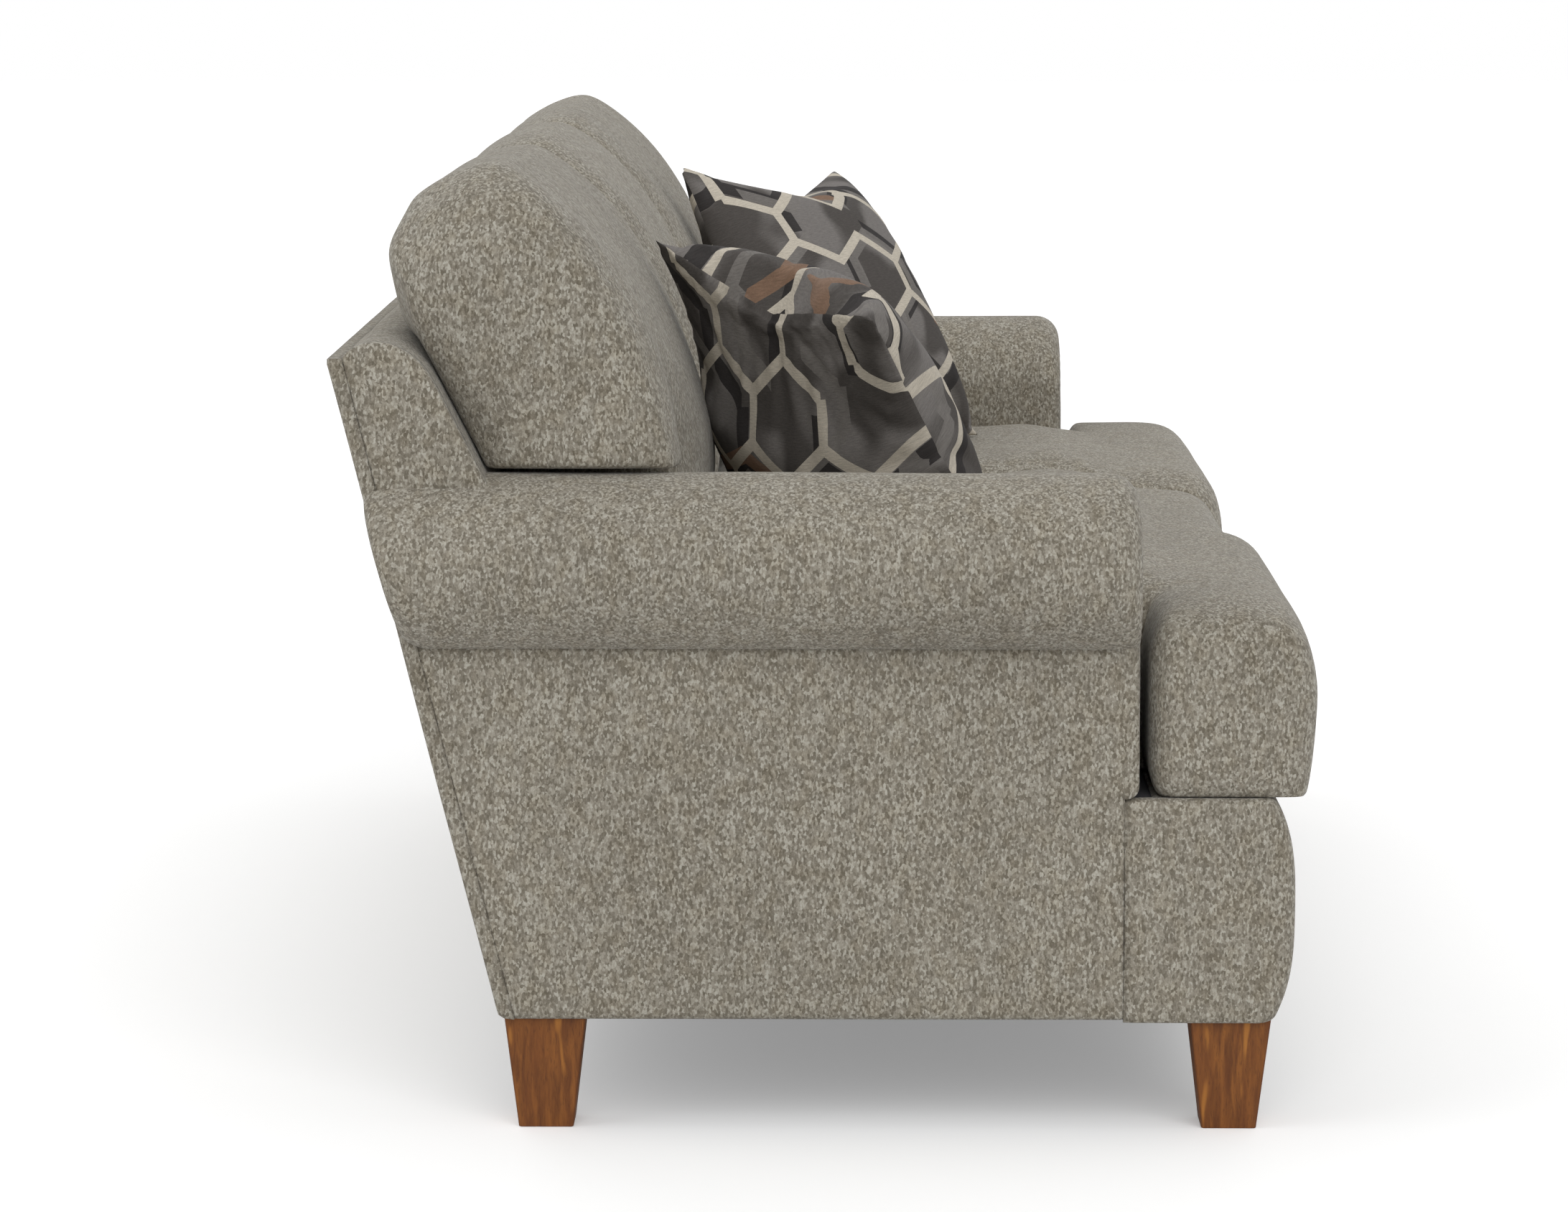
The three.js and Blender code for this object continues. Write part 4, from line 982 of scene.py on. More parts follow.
def cut_lines(stops, cells, crowd):
    """Grid lines through some stops, each span with its own cell."""
    spans = [lines(a, b, cell, crowd) for a, b, cell in zip(stops, stops[1:], cells)]
    return np.concatenate([spans[0], *[span[1:] for span in spans[1:]]])


def clear_of_corner(x, y, side, rear, turn=1):
    """Where an ear has swollen into the arm's corner, it goes back to the nearer face."""
    to_side, past_rear = x - side, turn * (y - rear)
    past = (to_side > 0) & (past_rear > 0)
    sideways = to_side < past_rear
    return np.where(past & sideways, side, x), np.where(past & ~sideways, rear, y)


def edge_distance(outline, x, y, but=None):
    """How far a place is from an outline's edges, or from all but one of them."""
    best = np.full(np.broadcast(x, y).shape, 1e9)
    for edge, ((ax, ay), (bx, by)) in enumerate(zip(outline, outline[1:] + outline[:1])):
        if edge == but:
            continue
        span = (bx - ax) ** 2 + (by - ay) ** 2
        t = part_of(((x - ax) * (bx - ax) + (y - ay) * (by - ay)) / span)
        best = np.minimum(best, np.hypot(x - ax - t * (bx - ax), y - ay - t * (by - ay)))
    return best


def round_corner(x, y, corner_x, corner_y, out_x, out_y, radius):
    """Draws a square corner of a plan in to a round one."""
    u = (x - corner_x) * out_x / radius + 1
    v = (y - corner_y) * out_y / radius + 1
    if u <= 0 or v <= 0:
        return x, y
    return (corner_x + out_x * radius * (u * math.sqrt(1 - v * v / 2) - 1),
            corner_y + out_y * radius * (v * math.sqrt(1 - u * u / 2) - 1))


def stuffed(xs, ys, under, upper, rings, wall, rounded=(), holds=None):
    """A closed cushion on a grid: an under face, an upper face and a boxing strip round its edge.
    Gives the points, the faces, each point's plan place, and which seam it lies on, if any."""
    low = under(xs[:, None], ys[None, :])
    high = upper(xs[:, None], ys[None, :])
    kept = [[holds is None or holds((xs[i] + xs[i + 1]) / 2, (ys[j] + ys[j + 1]) / 2)
             for j in range(len(ys) - 1)] for i in range(len(xs) - 1)]
    held = lambda i, j: 0 <= i < len(xs) - 1 and 0 <= j < len(ys) - 1 and kept[i][j]
    outs, cells, rim = {}, [], []
    for i in range(len(xs) - 1):
        for j in range(len(ys) - 1):
            if not kept[i][j]:
                continue
            ring = [(i, j), (i + 1, j), (i + 1, j + 1), (i, j + 1)]
            cells.append(ring)
            for side, (di, dj) in enumerate(((0, -1), (1, 0), (0, 1), (-1, 0))):
                if held(i + di, j + dj):
                    continue
                ends = (ring[side], ring[(side + 1) % 4])
                rim.append(ends)
                for e in ends:
                    a, b = outs.get(e, (0, 0))
                    outs[e] = (a + di, b + dj)
    points, seams, columns = [], [], {}

    def put(x, y, z, seam=0):
        points.append((x, y, z))
        seams.append(seam)
        return len(points) - 1

    for spot in {s for ring in cells for s in ring}:
        i, j = spot
        x, y = xs[i], ys[j]
        for corner in rounded:
            x, y = round_corner(x, y, *corner)
        out = outs.get(spot)
        column = [put(x, y, low[i, j], 1 if out else 0)]
        if out:
            size = math.hypot(*out)
            for k in range(1, rings + 1):
                t = k / (rings + 1)
                across, along = wall(t, x, y)
                column.append(put(x + out[0] * across / size, y + out[1] * along / size,
                                  low[i, j] + (high[i, j] - low[i, j]) * t))
        if rings or not out:
            column.append(put(x, y, high[i, j], 2 if out else 0))
        columns[spot] = column
    faces = []
    for a, b, c, d in cells:
        tops = [columns[s][-1] for s in (a, b, c, d)]
        feet = [columns[s][0] for s in (a, d, c, b)]
        faces += [tops, feet]
    for a, b in rim:
        for k in range(len(columns[a]) - 1):
            faces.append([columns[a][k], columns[b][k], columns[b][k + 1], columns[a][k + 1]])
    return np.array(points), faces, np.array(seams)


def blow_up(points, faces, pinned, pressure, most, stretch=0.0, stiffness=14.0, frames=20):
    """The cover as cloth round its stuffing. Pinned points stay, and none moves more than most mm."""
    mesh = bpy.data.meshes.new("trial")
    mesh.from_pydata((points * 0.001).tolist(), [], faces)
    trial = bpy.data.objects.new("trial", mesh)
    bpy.context.scene.collection.objects.link(trial)
    group = trial.vertex_groups.new(name="sewn")
    for k, weight in enumerate(pinned):
        if weight > 0:
            group.add([k], float(weight), "REPLACE")
    cloth = trial.modifiers.new("cloth", "CLOTH")
    set_up = cloth.settings
    set_up.quality, set_up.mass, set_up.time_scale = 5, 0.25, 1.0
    set_up.tension_stiffness = set_up.compression_stiffness = stiffness
    set_up.shear_stiffness, set_up.bending_stiffness = stiffness * 0.5, 0.6
    set_up.use_pressure, set_up.uniform_pressure_force = True, pressure
    set_up.effector_weights.gravity = 0
    set_up.vertex_group_mass = "sewn"
    set_up.shrink_min = -stretch
    cloth.point_cache.frame_start, cloth.point_cache.frame_end = 1, frames
    scene = bpy.context.scene
    for step in range(1, frames + 1):
        scene.frame_set(step)
    ready = trial.evaluated_get(bpy.context.evaluated_depsgraph_get())
    moved = np.zeros(len(points) * 3, np.float32)
    ready.data.vertices.foreach_get("co", moved)
    moved = moved.reshape(-1, 3).astype(float) * 1000
    scene.frame_set(1)
    bpy.data.objects.remove(trial)
    bpy.data.meshes.remove(mesh)
    step = moved - points
    size = np.linalg.norm(step, axis=1)[:, None]
    return points + step * np.minimum(1, most / np.maximum(size, 1e-6))


def held_in(value, low, high, soft=8):
    """Keeps a cushion in its space. It flattens by degrees as it meets a neighbour."""
    for sign, limit in ((1, high), (-1, low)):
        past = np.maximum(sign * (value - limit) + soft, 0)
        value = np.where(past > 0, limit - sign * soft * np.exp(-past / soft), value)
    return value


def relax(points, faces, rounds, share=0.5, keep=None):
    """Evens the cover out and keeps it full: each point steps towards its neighbours, then back."""
    pairs = np.array([(f[k], f[(k + 1) % len(f)]) for f in faces for k in range(len(f))])
    pairs = np.concatenate([pairs, pairs[:, ::-1]])
    count = np.bincount(pairs[:, 0], minlength=len(points))[:, None]
    hold = np.ones(len(points)) if keep is None else 1 - keep
    for _ in range(rounds):
        for step in (share, -share * 0.92):
            total = np.zeros_like(points)
            np.add.at(total, pairs[:, 0], points[pairs[:, 1]])
            points = points + (total / count - points) * step * hold[:, None]
    return points


seat_nose, seat_rear_z, seat_side, seat_inner = -484.3, 333.6, 900, 300
seat_gap, seat_bulge, seat_edge = 0.6, 18, 162
nose_drop, nose_reach, lip, ear_bulge = 47, 46, 9, 7
ear_x, ear_rear, nose_back, nose_draw = 1070, -314.3, 4, 24
# The loose back and the pillows rest behind this line, and the seat is flat under them
back_line, flat_top = -195, 519.6


def seat_cushion(x_from, x_to, ear, crown, set_back=0):
    """A seat cushion with a waterfall front: the top runs over the nose to a seam at its foot."""
    x0, x1 = x_from + seat_gap + seat_bulge, x_to - seat_gap - seat_bulge
    y0, y1 = seat_nose + 1, inside_back(seat_rear_z) - seat_gap - seat_bulge
    far_x, far_y = (ear_x - seat_bulge, ear_rear - ear_bulge) if ear else (x1, y1)
    xs = cut_lines((x0, x1, far_x)[:2 + ear], (13, 13), 0.6)
    ys = cut_lines((y0, far_y, y1)[:2 + ear], (12, 13) if ear else (13,), 0.6)
    seam_z = seat_rear_z + seat_edge

    def upper(x, y):
        side = seam_z - nose_drop * (1 - swell(y - y0, nose_reach)) + 0 * x
        full = np.minimum(swell(x - x0, 85), swell(far_x - x, 110 if ear else 85))
        full = full * swell(y - y0, 90) * swell(y1 - y, 90)
        inner = swell(np.hypot(np.maximum(x1 - x, 0), np.maximum(far_y - y, 0)), 50)
        return side + crown * np.minimum(full, inner if ear else 1)

    def wall(t, x, y):
        front = part_of(1 - (y - y0) / 60)
        push = seat_bulge * math.sin(math.pi * t) ** 0.45 * (1 - front) + 1 * front
        return push, min(push, ear_bulge) if ear and x > x1 + 1 else push

    nose_round, rear_round = 28, 24
    rounded = [(far_x, y0, 1, -1, nose_round), (x0, y0, -1, -1, nose_round),
               (far_x, far_y, 1, 1, rear_round)]
    holds = (lambda x, y: x < x1 or y < far_y) if ear else None
    points, faces, seams = stuffed(xs, ys, lambda x, y: seat_rear_z + 0 * x * y, upper, 9, wall, rounded,
                                   holds)
    foot = (points[:, 2] < seat_rear_z + 0.5).astype(float)
    points = relax(points, faces, 6, 0.5, foot)
    up = points[:, 2] - seat_rear_z
    tucked = part_of(1 - up / 100) * part_of(1 - (points[:, 1] - y0) / 60)
    points[:, 1] += lip * tucked ** 1.5
    pins = np.maximum(foot, (seams == 2) * 0.35)
    pins = np.maximum(pins, 0.45 * part_of((-300 - points[:, 1]) / 60) * (up > 60))
    points = blow_up(points, faces, pins, 3.2, 20)
    points = relax(points, faces, 3, 0.5, foot)
    x, y, z = points.T
    if ear:
        y = y + nose_back * part_of((x - 800) / 230) ** 2 * part_of((-330 - y) / 150)
    # The nose draws in where two cushions meet
    aside = x - x_from if ear else np.minimum(x - x_from, x_to - x)
    draw = np.maximum(nose_draw * part_of(1 - aside / 110) ** 2, set_back)
    draw = draw * part_of((-330 - y) / 60) * part_of((z - seat_rear_z - 60) / 70)
    y, z = y + 0.75 * draw, z - 0.65 * draw
    x = held_in(x, x_from + seat_gap, ear_x if ear else x_to - seat_gap)
    y = np.clip(y, seat_nose, inside_back(seat_rear_z) - 0.6)
    top = flat_top + 20 * part_of((back_line - y) / 120)
    z = np.where(z > top - 8, top - 8 * np.exp(-(z - top + 8) / 8), z)
    pulls = np.array([noise.noise(Vector((px / 190, py / 70, x_from))) for px, py in zip(x, y)])
    z = z + 1.6 * pulls * (z > seat_rear_z + 90) * part_of((back_line - y) / 60)
    if ear:
        x, y = clear_of_corner(x, y, x_to - seat_gap, ear_rear)
    return np.stack([x, y, np.maximum(z, seat_rear_z - 0.3)], 1), faces


def dress_cushion(made):
    finish = made.modifiers.new("finish", "SUBSURF")
    finish.levels = finish.render_levels = 1


# Each is stuffed by hand, so they don't crown alike
for side, flip, crown in (("left", -1, 27), ("right", 1, 11)):
    points, faces = seat_cushion(seat_inner, seat_side, True, crown)
    dress_cushion(piece(f"seat_cushion_{side}", points * (flip, 1, 1), [f[::flip] for f in faces],
                        cover_cloth, f"seat_cushion_{side}_body", [f"seat_cushion_cover_{side}"]))
dress_cushion(piece("seat_cushion_middle", *seat_cushion(-seat_inner, seat_inner, False, 16, 19),
                    cover_cloth, "seat_cushion_middle_body", ["seat_cushion_cover_middle"]))


# Foam cores
# A block of firm seat foam in each cushion, cut to its plan with the ear and a little smaller than
# the cover, and wrapped. It shows its open cells.
core_inset, core_low, core_high = 34, 341.7, 475.5


def foam_core(x_from, x_to, ear):
    """A block of seat foam cut to the cushion's plan. Its cut edges have begun to round."""
    x0, x1 = x_from + seat_gap + core_inset, x_to - seat_gap - core_inset
    y0, y1 = seat_nose + core_inset, inside_back(seat_rear_z) - 0.7 - core_inset
    far_x, far_y = (ear_x - core_inset, ear_rear - core_inset) if ear else (x1, y1)
    plan = [(x0, y0), (far_x, y0), *([(far_x, far_y), (x1, far_y)] if ear else []), (x1, y1), (x0, y1)]
    xs = cut_lines((x0, x1, far_x)[:2 + ear], (18, 18), 0.9)
    ys = cut_lines((y0, far_y, y1)[:2 + ear], (14, 18) if ear else (18,), 0.9)
    ease = lambda x, y: 5 * (1 - swell(edge_distance(plan, x, y), 12))
    holds = (lambda x, y: x < x1 or y < far_y) if ear else None
    return stuffed(xs, ys, lambda x, y: core_low + ease(x, y), lambda x, y: core_high - ease(x, y), 6,
                   lambda t, x, y: (0, 0), (), holds)[:2]


def seat_foam():
    foam = Finish("polyurethane_foam")
    cell = foam.node("TexVoronoi", {"feature": "F1"}, {"Vector": foam.spot(), "Scale": 900}, "Distance")
    cloud = foam.speckle(foam.spot(), 14, 3)
    colour = foam.blend(foam.ease(cell, 0.1, 0.7), tint(212, 196, 148), tint(240, 230, 196))
    colour = foam.blend(foam.ease(cloud, 0.4, 0.7) * 0.25, colour, tint(226, 204, 140))
    return foam.surface(colour, 0.5, 0.0008, cell, 0.88 + cell * 0.1, Specular_IOR_Level=0.2)


foam = seat_foam()
for made in (*pair("foam_core", *foam_core(seat_inner, seat_side, True), foam, "seat_cushion_SIDE_body",
                   ["seat_cushion_core_SIDE"], slot="foam"),
             piece("foam_core_middle", *foam_core(-seat_inner, seat_inner, False), foam,
                   "seat_cushion_middle_body", ["seat_cushion_core_middle"], slot="foam")):
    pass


# Zips
# A brass zip lets the core into the rear boxing of each seat cushion: two lips of woven tape,
# teeth that meet by turns from either side, and a slider with its pull at one end.
zip_z, zip_y, zip_long = (core_low + core_high) / 2, inside_back(seat_rear_z) - 0.6, 440
zip_tape = plain_weave("zip_tape", tint(88, 83, 74), tint(122, 116, 104), 1400, 0.4, "XZ")
brass = plated("antique_brass", tint(128, 104, 62), tint(170, 144, 96), 0.36)
brass_row = set_row("brass_row", brass)


def zip_strip(middle):
    """Two lips of tape that close over the teeth's feet."""
    xs = lines(middle - zip_long / 2 - 12, middle + zip_long / 2 + 12, 12, 0.3)[:, None]
    ts = np.linspace(0, 1, 7)
    proud = 0.5 + 0.5 * np.sin(np.pi * ts) ** 0.5 + handwork(gridded(xs, 0 * ts, 9), 0.15, 30)
    for sign in (-1, 1):
        z = zip_z + sign * (1.1 + 12.5 * ts)
        yield slab(gridded(xs, zip_y + proud, z), gridded(xs, zip_y - 1.5, z))


def joined(*parts):
    points, faces = [], []
    for some, cells in parts:
        faces += [[k + len(points) for k in cell] for cell in cells]
        points += [tuple(p) for p in some]
    return points, faces


for name, middle in (("left", -600), ("middle", 0), ("right", 600)):
    body = f"seat_cushion_{name}_body"
    piece(f"zip_tape_{name}", *joined(*zip_strip(middle)), zip_tape, body, [])
    tooth = small_part("zip_tooth", *bent_strip([(-0.5, 0), (0, 0.25), (0.5, 0)], 1.2, 3.4))
    x0, x1 = middle - zip_long / 2, middle + zip_long / 2
    chain = [(x, zip_y + 0.9, zip_z) for x in (x0, x1)]
    set_along(f"zip_teeth_{name}", brass_row, tooth, [chain], body, "spring_steel", 1.6, stagger=1.1,
              up=(0, 1, 0), seed=8)
    slider, faces = joined(bent_strip([(-5, -0.6), (-4, 0.9), (4, 0.9), (5, -0.6)], 1.2, 8.5),
                           bent_strip([(1, 2.1), (5, 2.5), (12, 2.2), (22, 1.6)], 0.9, 4.6))
    piece(f"zip_slider_{name}", [(x1 - 16 + u, zip_y + 1.3 + w, zip_z + s) for u, s, w in slider], faces,
          brass, body, [], slot="spring_steel", smooth=False)


# Loose back cushions
# Stuffed as the seat is, softer and fuller above the middle, in the cover cloth with a seam round
# each face. They lean on the inside back. The end ones have ears that lie on the arms' rolls.
back_foot_z, rake = 520.2, inner_lean
back_foot_y = inside_back(back_foot_z) - 0.67
back_tall, back_bulge, top_fall = 415, 18, 27
arm_ear_x, arm_ear_v = 1030, 147.6
# How deep the cushion is, at heights measured along the rake
depth_at = (0, 60, 134, 200, 262, 323, 360, 390, 405, 415)
depth_is = (140, 150, 168, 188, 202, 198, 187, 171, 158, 148)


def back_cushion(x_from, x_to, ear):
    """A back cushion, drawn square to the raked back: its plan is the face, its height the depth.
    It lies on the inside back and is fullest above its middle. An end one reaches over the arm."""
    x0, x1 = x_from + seat_gap + back_bulge, x_to - seat_gap - back_bulge
    far_x = arm_ear_x - back_bulge if ear else x1
    v0, ear_v, v1 = 12, arm_ear_v, back_tall - 8
    plan = [(x0, v0), (x1, v0), *([(x1, ear_v), (far_x, ear_v)] if ear else []), (far_x, v1), (x0, v1)]
    but = 2 if ear else None
    xs = cut_lines((x0, x1, far_x)[:2 + ear], (13, 13), 0.6)
    vs = cut_lines((v0, ear_v, v1) if ear else (v0, v1), (13, 13), 0.6)

    def under(x, v):
        over = part_of((v - 300) / (back_tall - 300))
        seam = 4 + 39 * over ** 1.5
        drawn = seam * (1 - swell(edge_distance(plan, x, v, but), 30 + 30 * over))
        return drawn + 3 * np.sin(math.pi * over) ** 1.2

    def upper(x, v):
        full = np.interp(v, depth_at, depth_is)
        loss = 25 - 16 * ear * (x > x1) * part_of(1 - (v - ear_v) / 150)
        rim = 1 - swell(edge_distance(plan, x, v, but), 105)
        return full - loss * rim * part_of((v1 - v) / 60 + 0.3)

    top_round, foot_round = 72, 20
    rounded = [(x0, v1, -1, 1, top_round), (x0, v0, -1, -1, foot_round),
               (far_x, v1, 1, 1, top_round + 12 * ear), (x1, v0, 1, -1, foot_round)]
    if ear:
        rounded.append((far_x, ear_v, 1, -1, 6))

    def wall(t, x, v):
        push = back_bulge * math.sin(math.pi * t) ** 0.55 * (1 if v < v1 - 20 else 0.6)
        return push, 0 if ear and x > x1 - 1 and v < ear_v + 7 else push

    holds = (lambda x, v: x < x1 or v > ear_v) if ear else None
    points, faces, seams = stuffed(xs, vs, under, upper, 13, wall, rounded, holds)
    foot = (points[:, 1] < 12).astype(float)
    # The part over the arm lies on the roll, so its underside stays flat and its lower edge crisp
    tight = part_of(1.15 - (points[:, 1] - ear_v) / 26) * (points[:, 0] > x1 + 24) * ear
    points = relax(points, faces, 6, 0.5, tight)
    points = blow_up(points, faces, np.maximum(np.maximum(foot, (seams > 0) * 0.4), tight), 3.2, 22)
    points = relax(points, faces, 3, 0.5, tight)
    x, v, w = points.T
    # Each top is a dome of its own, lowest where it meets the next cushion
    aside = x - x_from if ear else np.minimum(x - x_from, x_to - x)
    dome = 0.55 * part_of(1 - aside / 130) ** 2 + 0.45 * part_of(1 - aside / 310) ** 2
    dome = dome * part_of((v - 240) / (back_tall - 240)) ** 2
    v, w = v - top_fall * dome, w + 20 * dome * part_of(1 - w / 90)
    x = held_in(x, x_from + seat_gap, arm_ear_x if ear else x_to - seat_gap)
    v = np.clip(v, 0, back_tall + 12)
    if ear:
        x, v = clear_of_corner(x, v, x_to - seat_gap, ear_v, -1)
    pulls = np.array([noise.noise(Vector((px / 60, pv / 230, x_from))) for px, pv in zip(x, v)])
    w = w + 2.6 * pulls * (w > 60) * (1 - tight)
    w = np.where(v < 292, np.maximum(w, 0), w)
    level = part_of((back_tall - v) / (back_tall - arm_ear_v))
    along = v - w * math.tan(rake) * level
    return np.stack([x, back_foot_y + along * math.sin(rake) - w * math.cos(rake),
                     back_foot_z + along * math.cos(rake) + w * math.sin(rake)], 1), faces


for made in (*pair("back_cushion_cover", *back_cushion(seat_inner, seat_side, True), cover_cloth,
                   "back_cushion_SIDE_body", ["back_cushion_SIDE"]),
             piece("back_cushion_cover_middle", *back_cushion(-seat_inner, seat_inner, False),
                   cover_cloth, "back_cushion_middle_body", ["back_cushion_middle"])):
    dress_cushion(made)


# Throw pillows
# Two knife edge pillows in a printed cotton, one leaning in each corner. They are slackly filled, so
# the top seam dips between its corners and the cloth gathers towards them.
pillow_thick, seam_lip = 150, 3.5
# The corners rear top, front top, rear foot and front foot, drawn for the right side. Then how far
# the face rises past the seam, how flat the rear lies, how deep the top dips, and the cut's place
pillow_cuts = {
    "left": ((500, 184, 842), (800, -44, 781), (360, 66, 521), (668, -181, 521), 0.1, 0.7, 0.24, 0),
    "right": ((500, 184, 870), (819, -6, 846), (362, 62, 521), (662, -188, 521), 0.0, 0.2, 0.3, 300),
}
# Soft creases as starts, ends, widths and depths, on a face that runs from -1 to 1 both ways
pillow_folds = (((-0.05, 1), (0.1, 0.25), 0.07, 5), ((-0.1, 1), (-0.4, 0.4), 0.06, 4),
                ((0.05, 1), (0.5, 0.5), 0.06, 5), ((-1, 1), (-0.35, 0.2), 0.07, 6),
                ((1, 1), (0.4, 0.15), 0.07, 6), ((1, -1), (0.5, -0.4), 0.07, 4),
                ((-1, -1), (-0.5, -0.5), 0.07, 4))


def lattice_print():
    """Stretched hexagons in cream bands over darker ones, with some bands left out, on slub cotton."""
    cotton = Finish("lattice_print")
    place = cotton.node("UVMap", {"uv_map": "cut"})
    x, y = cotton.axes(place, "XY")

    def bands(x, y, wide, tall, thick, zig, drop, seed):
        """1 on the bands of a hexagon lattice: zigzag rows joined by short uprights."""
        row = cotton.sum("FLOOR", y / tall + 0.5)
        across = x / wide + cotton.sum("PINGPONG", row, 1.0) * 0.5
        wave = cotton.sum("PINGPONG", across * 2, 1.0) * 2 - 1
        zigzag = abs(y - row * tall - wave * (zig / 2)) < thick * 0.56
        row_up = cotton.sum("FLOOR", y / tall)
        across_up = x / wide + cotton.sum("PINGPONG", row_up, 1.0) * 0.5
        upright = abs(cotton.sum("FRACT", across_up) - 0.5) < thick / 2 / wide
        upright = upright * (abs(y - row_up * tall - tall / 2) < (tall - zig) / 2)

        def drawn(one, two, shift):
            name = {"X": cotton.sum("FLOOR", one) + seed, "Y": two + shift}
            name = {"Vector": cotton.node("CombineXYZ", None, name)}
            return cotton.node("TexWhiteNoise", {"noise_dimensions": "3D"}, name, "Value") > drop
        return cotton.sum("MAXIMUM", zigzag * drawn(across * 2, row, 0.5),
                          upright * drawn(across_up, row_up, 40.5))

    slub = cotton.node("Mapping", None, {"Vector": place, "Scale": (0.15, 1, 1)})
    slub = cotton.speckle(slub, 0.8, 2)
    weave = cotton.speckle(place, 0.8, 3, 0.75)
    patch = cotton.speckle(place, 0.011, 1)
    ground = cotton.blend(cotton.ease(patch, 0.44, 0.56), tint(78, 74, 71), tint(118, 114, 111))
    dark = bands(x + 37, y + 31, 128, 88, 21, 40, 0.35, 7)
    colour = cotton.blend(dark * 0.9, ground, tint(44, 41, 41))
    grey = bands(x + 15, y + 62, 112, 80, 17, 34, 0.55, 11)
    colour = cotton.blend(grey * 0.8, colour, tint(120, 116, 112))
    rust = bands(x + 71, y + 55, 150, 104, 17, 30, 0.8, 3)
    colour = cotton.blend(rust * 0.8, colour, tint(132, 104, 84))
    cream = bands(x, y, 116, 82, 13, 36, 0.12, 0)
    colour = cotton.blend(cream, colour, tint(192, 184, 170))
    tone = slub * 0.5 + weave * 0.5
    shade = cotton.blend(cotton.ease(tone, 0.3, 0.7), (0.76, 0.76, 0.76, 1), (1.18, 1.18, 1.18, 1))
    colour = cotton.blend(1.0, colour, shade, "MULTIPLY")
    return cotton.surface(colour, 0.35, 0.0008, tone + cream * 0.3, 0.9, Specular_IOR_Level=0.25)


pillow_cloth = lattice_print()


def fold(u, v, start, end, wide, tall):
    """A soft crease in the cloth from one place to another, deepest at its start."""
    (ax, ay), (bx, by) = start, end
    span = (bx - ax) ** 2 + (by - ay) ** 2
    along = part_of(((u - ax) * (bx - ax) + (v - ay) * (by - ay)) / span)
    off = np.hypot(u - ax - along * (bx - ax), v - ay - along * (by - ay))
    return tall * (1 - along) ** 0.7 * (np.exp(-(off / wide) ** 2) - 0.6 * np.exp(-(off / wide / 2) ** 2))


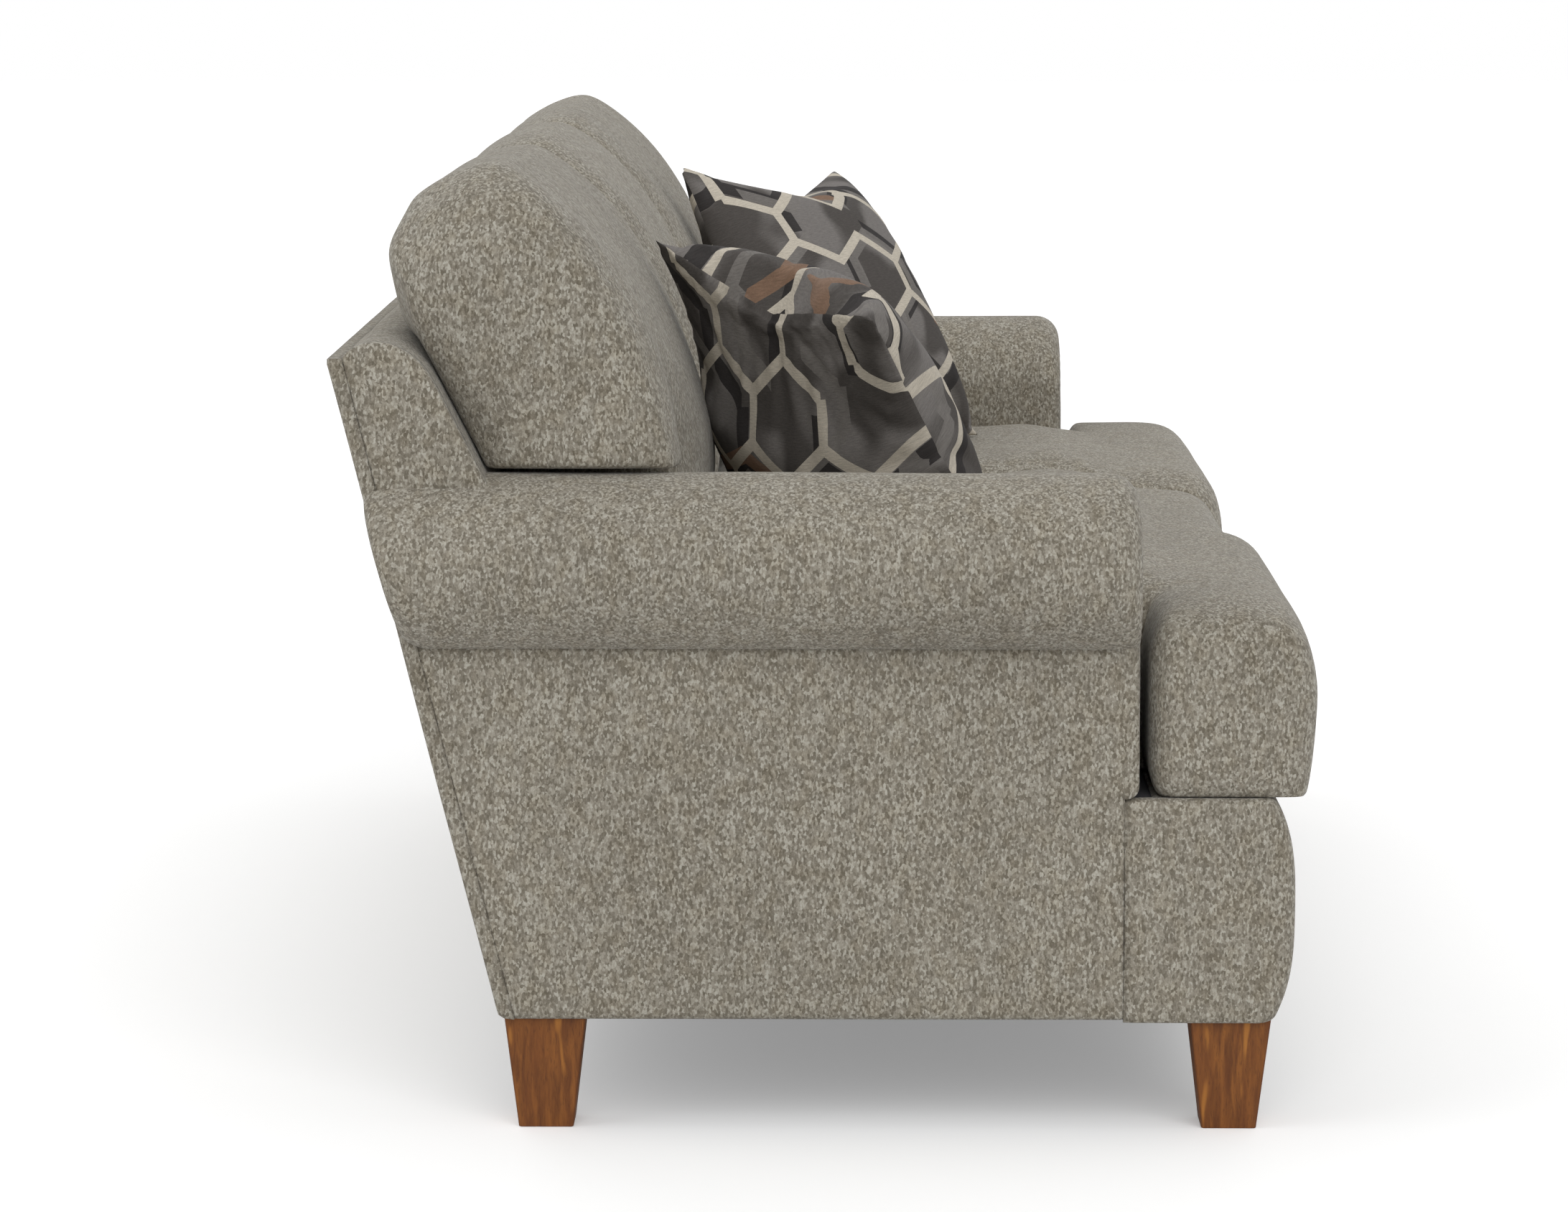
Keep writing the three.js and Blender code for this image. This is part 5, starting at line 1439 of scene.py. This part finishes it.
def throw_pillow(top_rear, top_front, foot_rear, foot_front, face_rise, rear_flat, top_dip, cut_place):
    """A pillow between its four corners. Also gives its grid, and where each point lies on the cloth."""
    top_a, top_b, foot_a, foot_b = np.array([top_rear, top_front, foot_rear, foot_front], float)
    facing = np.cross(top_b - foot_a, foot_b - top_a)
    facing /= np.linalg.norm(facing)
    side = lines(-1, 1, 0.04, 0.3)
    thick = lambda u, v: pillow_thick / 2 * (part_of(1 - u * u) * part_of(1 - v * v)) ** 0.5
    points, faces, seams = stuffed(side, side, lambda u, v: -thick(u, v), thick, 0, None)
    u, v, w = points.T
    s = (u * (1 - 0.06 * (1 - v * v)) + 1) / 2
    dip = part_of(1 - np.abs(u + 0.05) * 1.05) ** 1.2 * top_dip
    dip = np.where(v > 0, dip + 0.05 * (1 - u * u), 0.03 * (1 - u * u))
    t = (v * (1 - dip * part_of(np.abs(v) ** 3)) + 1) / 2
    # The fuller faces rise past the dipped seam
    rise = face_rise * (w > 0) * (seams == 0)
    rise = rise * part_of((v - 0.5) / 0.4) * (1 - part_of((v - 0.9) / 0.1) ** 2)
    t = t + rise * (1 - u * u)
    face = np.sign(w)
    w = np.where(w < 0, w * (1 - rear_flat * part_of((v + 0.1) / 0.8)), w * (1 + 0.25 * rear_flat))
    for start, end, wide, deep in pillow_folds:
        w = w + face * fold(u, v, start, end, wide, -deep) * part_of(np.abs(w) / 20)
    foot = foot_a + (foot_b - foot_a) * s[:, None]
    top = top_a + (top_b - top_a) * s[:, None]
    placed = foot + (top - foot) * t[:, None] - facing * w[:, None]
    pins = np.where(seams > 0, 0.5 + 0.5 * np.maximum(np.abs(u * v) > 0.97, (v < -0.98)), 0)
    pins = np.maximum(pins, 0.8 * rear_flat * part_of(v * 1.5) * (face < 0))
    placed = blow_up(placed, faces, pins, 2.6, 18, 0.04, 8)
    across = (foot_b - foot_a) / np.linalg.norm(foot_b - foot_a)
    up = np.cross(facing, across)
    up *= np.sign(up[2])
    flat = np.stack([(placed - foot_a) @ across, (placed - foot_a) @ up], 1)
    # The sewn edge stands as a thin lip
    out = flat - flat.mean(0)
    out /= np.linalg.norm(out, axis=1)[:, None]
    lip_out = seam_lip * (seams > 0) * (v > -0.9)
    placed = placed + (out[:, :1] * across + out[:, 1:] * up) * lip_out[:, None]
    placed[:, 2] = np.maximum(placed[:, 2], back_foot_z + 0.3)
    return placed, faces, np.stack([u, v], 1), flat + cut_place


def cut_apart(made, shift):
    """The rear is cut from another place of the cloth, so the print breaks at the seam."""
    layer = made.data.uv_layers["cut"]
    spots = np.zeros(len(layer.data) * 2, np.float32)
    layer.data.foreach_get("uv", spots)
    spots = spots.reshape(-1, 2)
    spots[np.repeat(np.arange(len(made.data.polygons)) % 2 == 0, 4)] += shift
    layer.data.foreach_set("uv", spots.ravel())


def sharpen_seam(made, grid):
    """The two faces meet in a knife edge, so the finish doesn't round it, and its corners stay."""
    on_seam, corner = np.abs(grid).max(1) > 0.995, np.abs(grid).min(1) > 0.995
    ends = np.zeros(len(made.data.edges) * 2, np.int32)
    made.data.edges.foreach_get("vertices", ends)
    ends = ends.reshape(-1, 2)
    along = on_seam[ends].all(1) & (np.abs(grid[ends[:, 0]] - grid[ends[:, 1]]).min(1) < 1e-4)
    for name, kind, sharp in (("crease_edge", "EDGE", along * 0.9),
                              ("crease_vert", "POINT", corner * 1.0)):
        mark = made.data.attributes.new(name, "FLOAT", kind)
        mark.data.foreach_set("value", sharp.astype(np.float32))


for side, flip in (("left", -1), ("right", 1)):
    points, faces, grid, cut = throw_pillow(*pillow_cuts[side])
    made = piece(f"throw_pillow_cover_{side}", points * (flip, 1, 1), [f[::flip] for f in faces],
                 pillow_cloth, f"throw_pillow_{side}_body", [f"throw_pillow_{side}"], slot="pillow_print",
                 uv=cut)
    cut_apart(made, (61, 37))
    sharpen_seam(made, grid)
    dress_cushion(made)
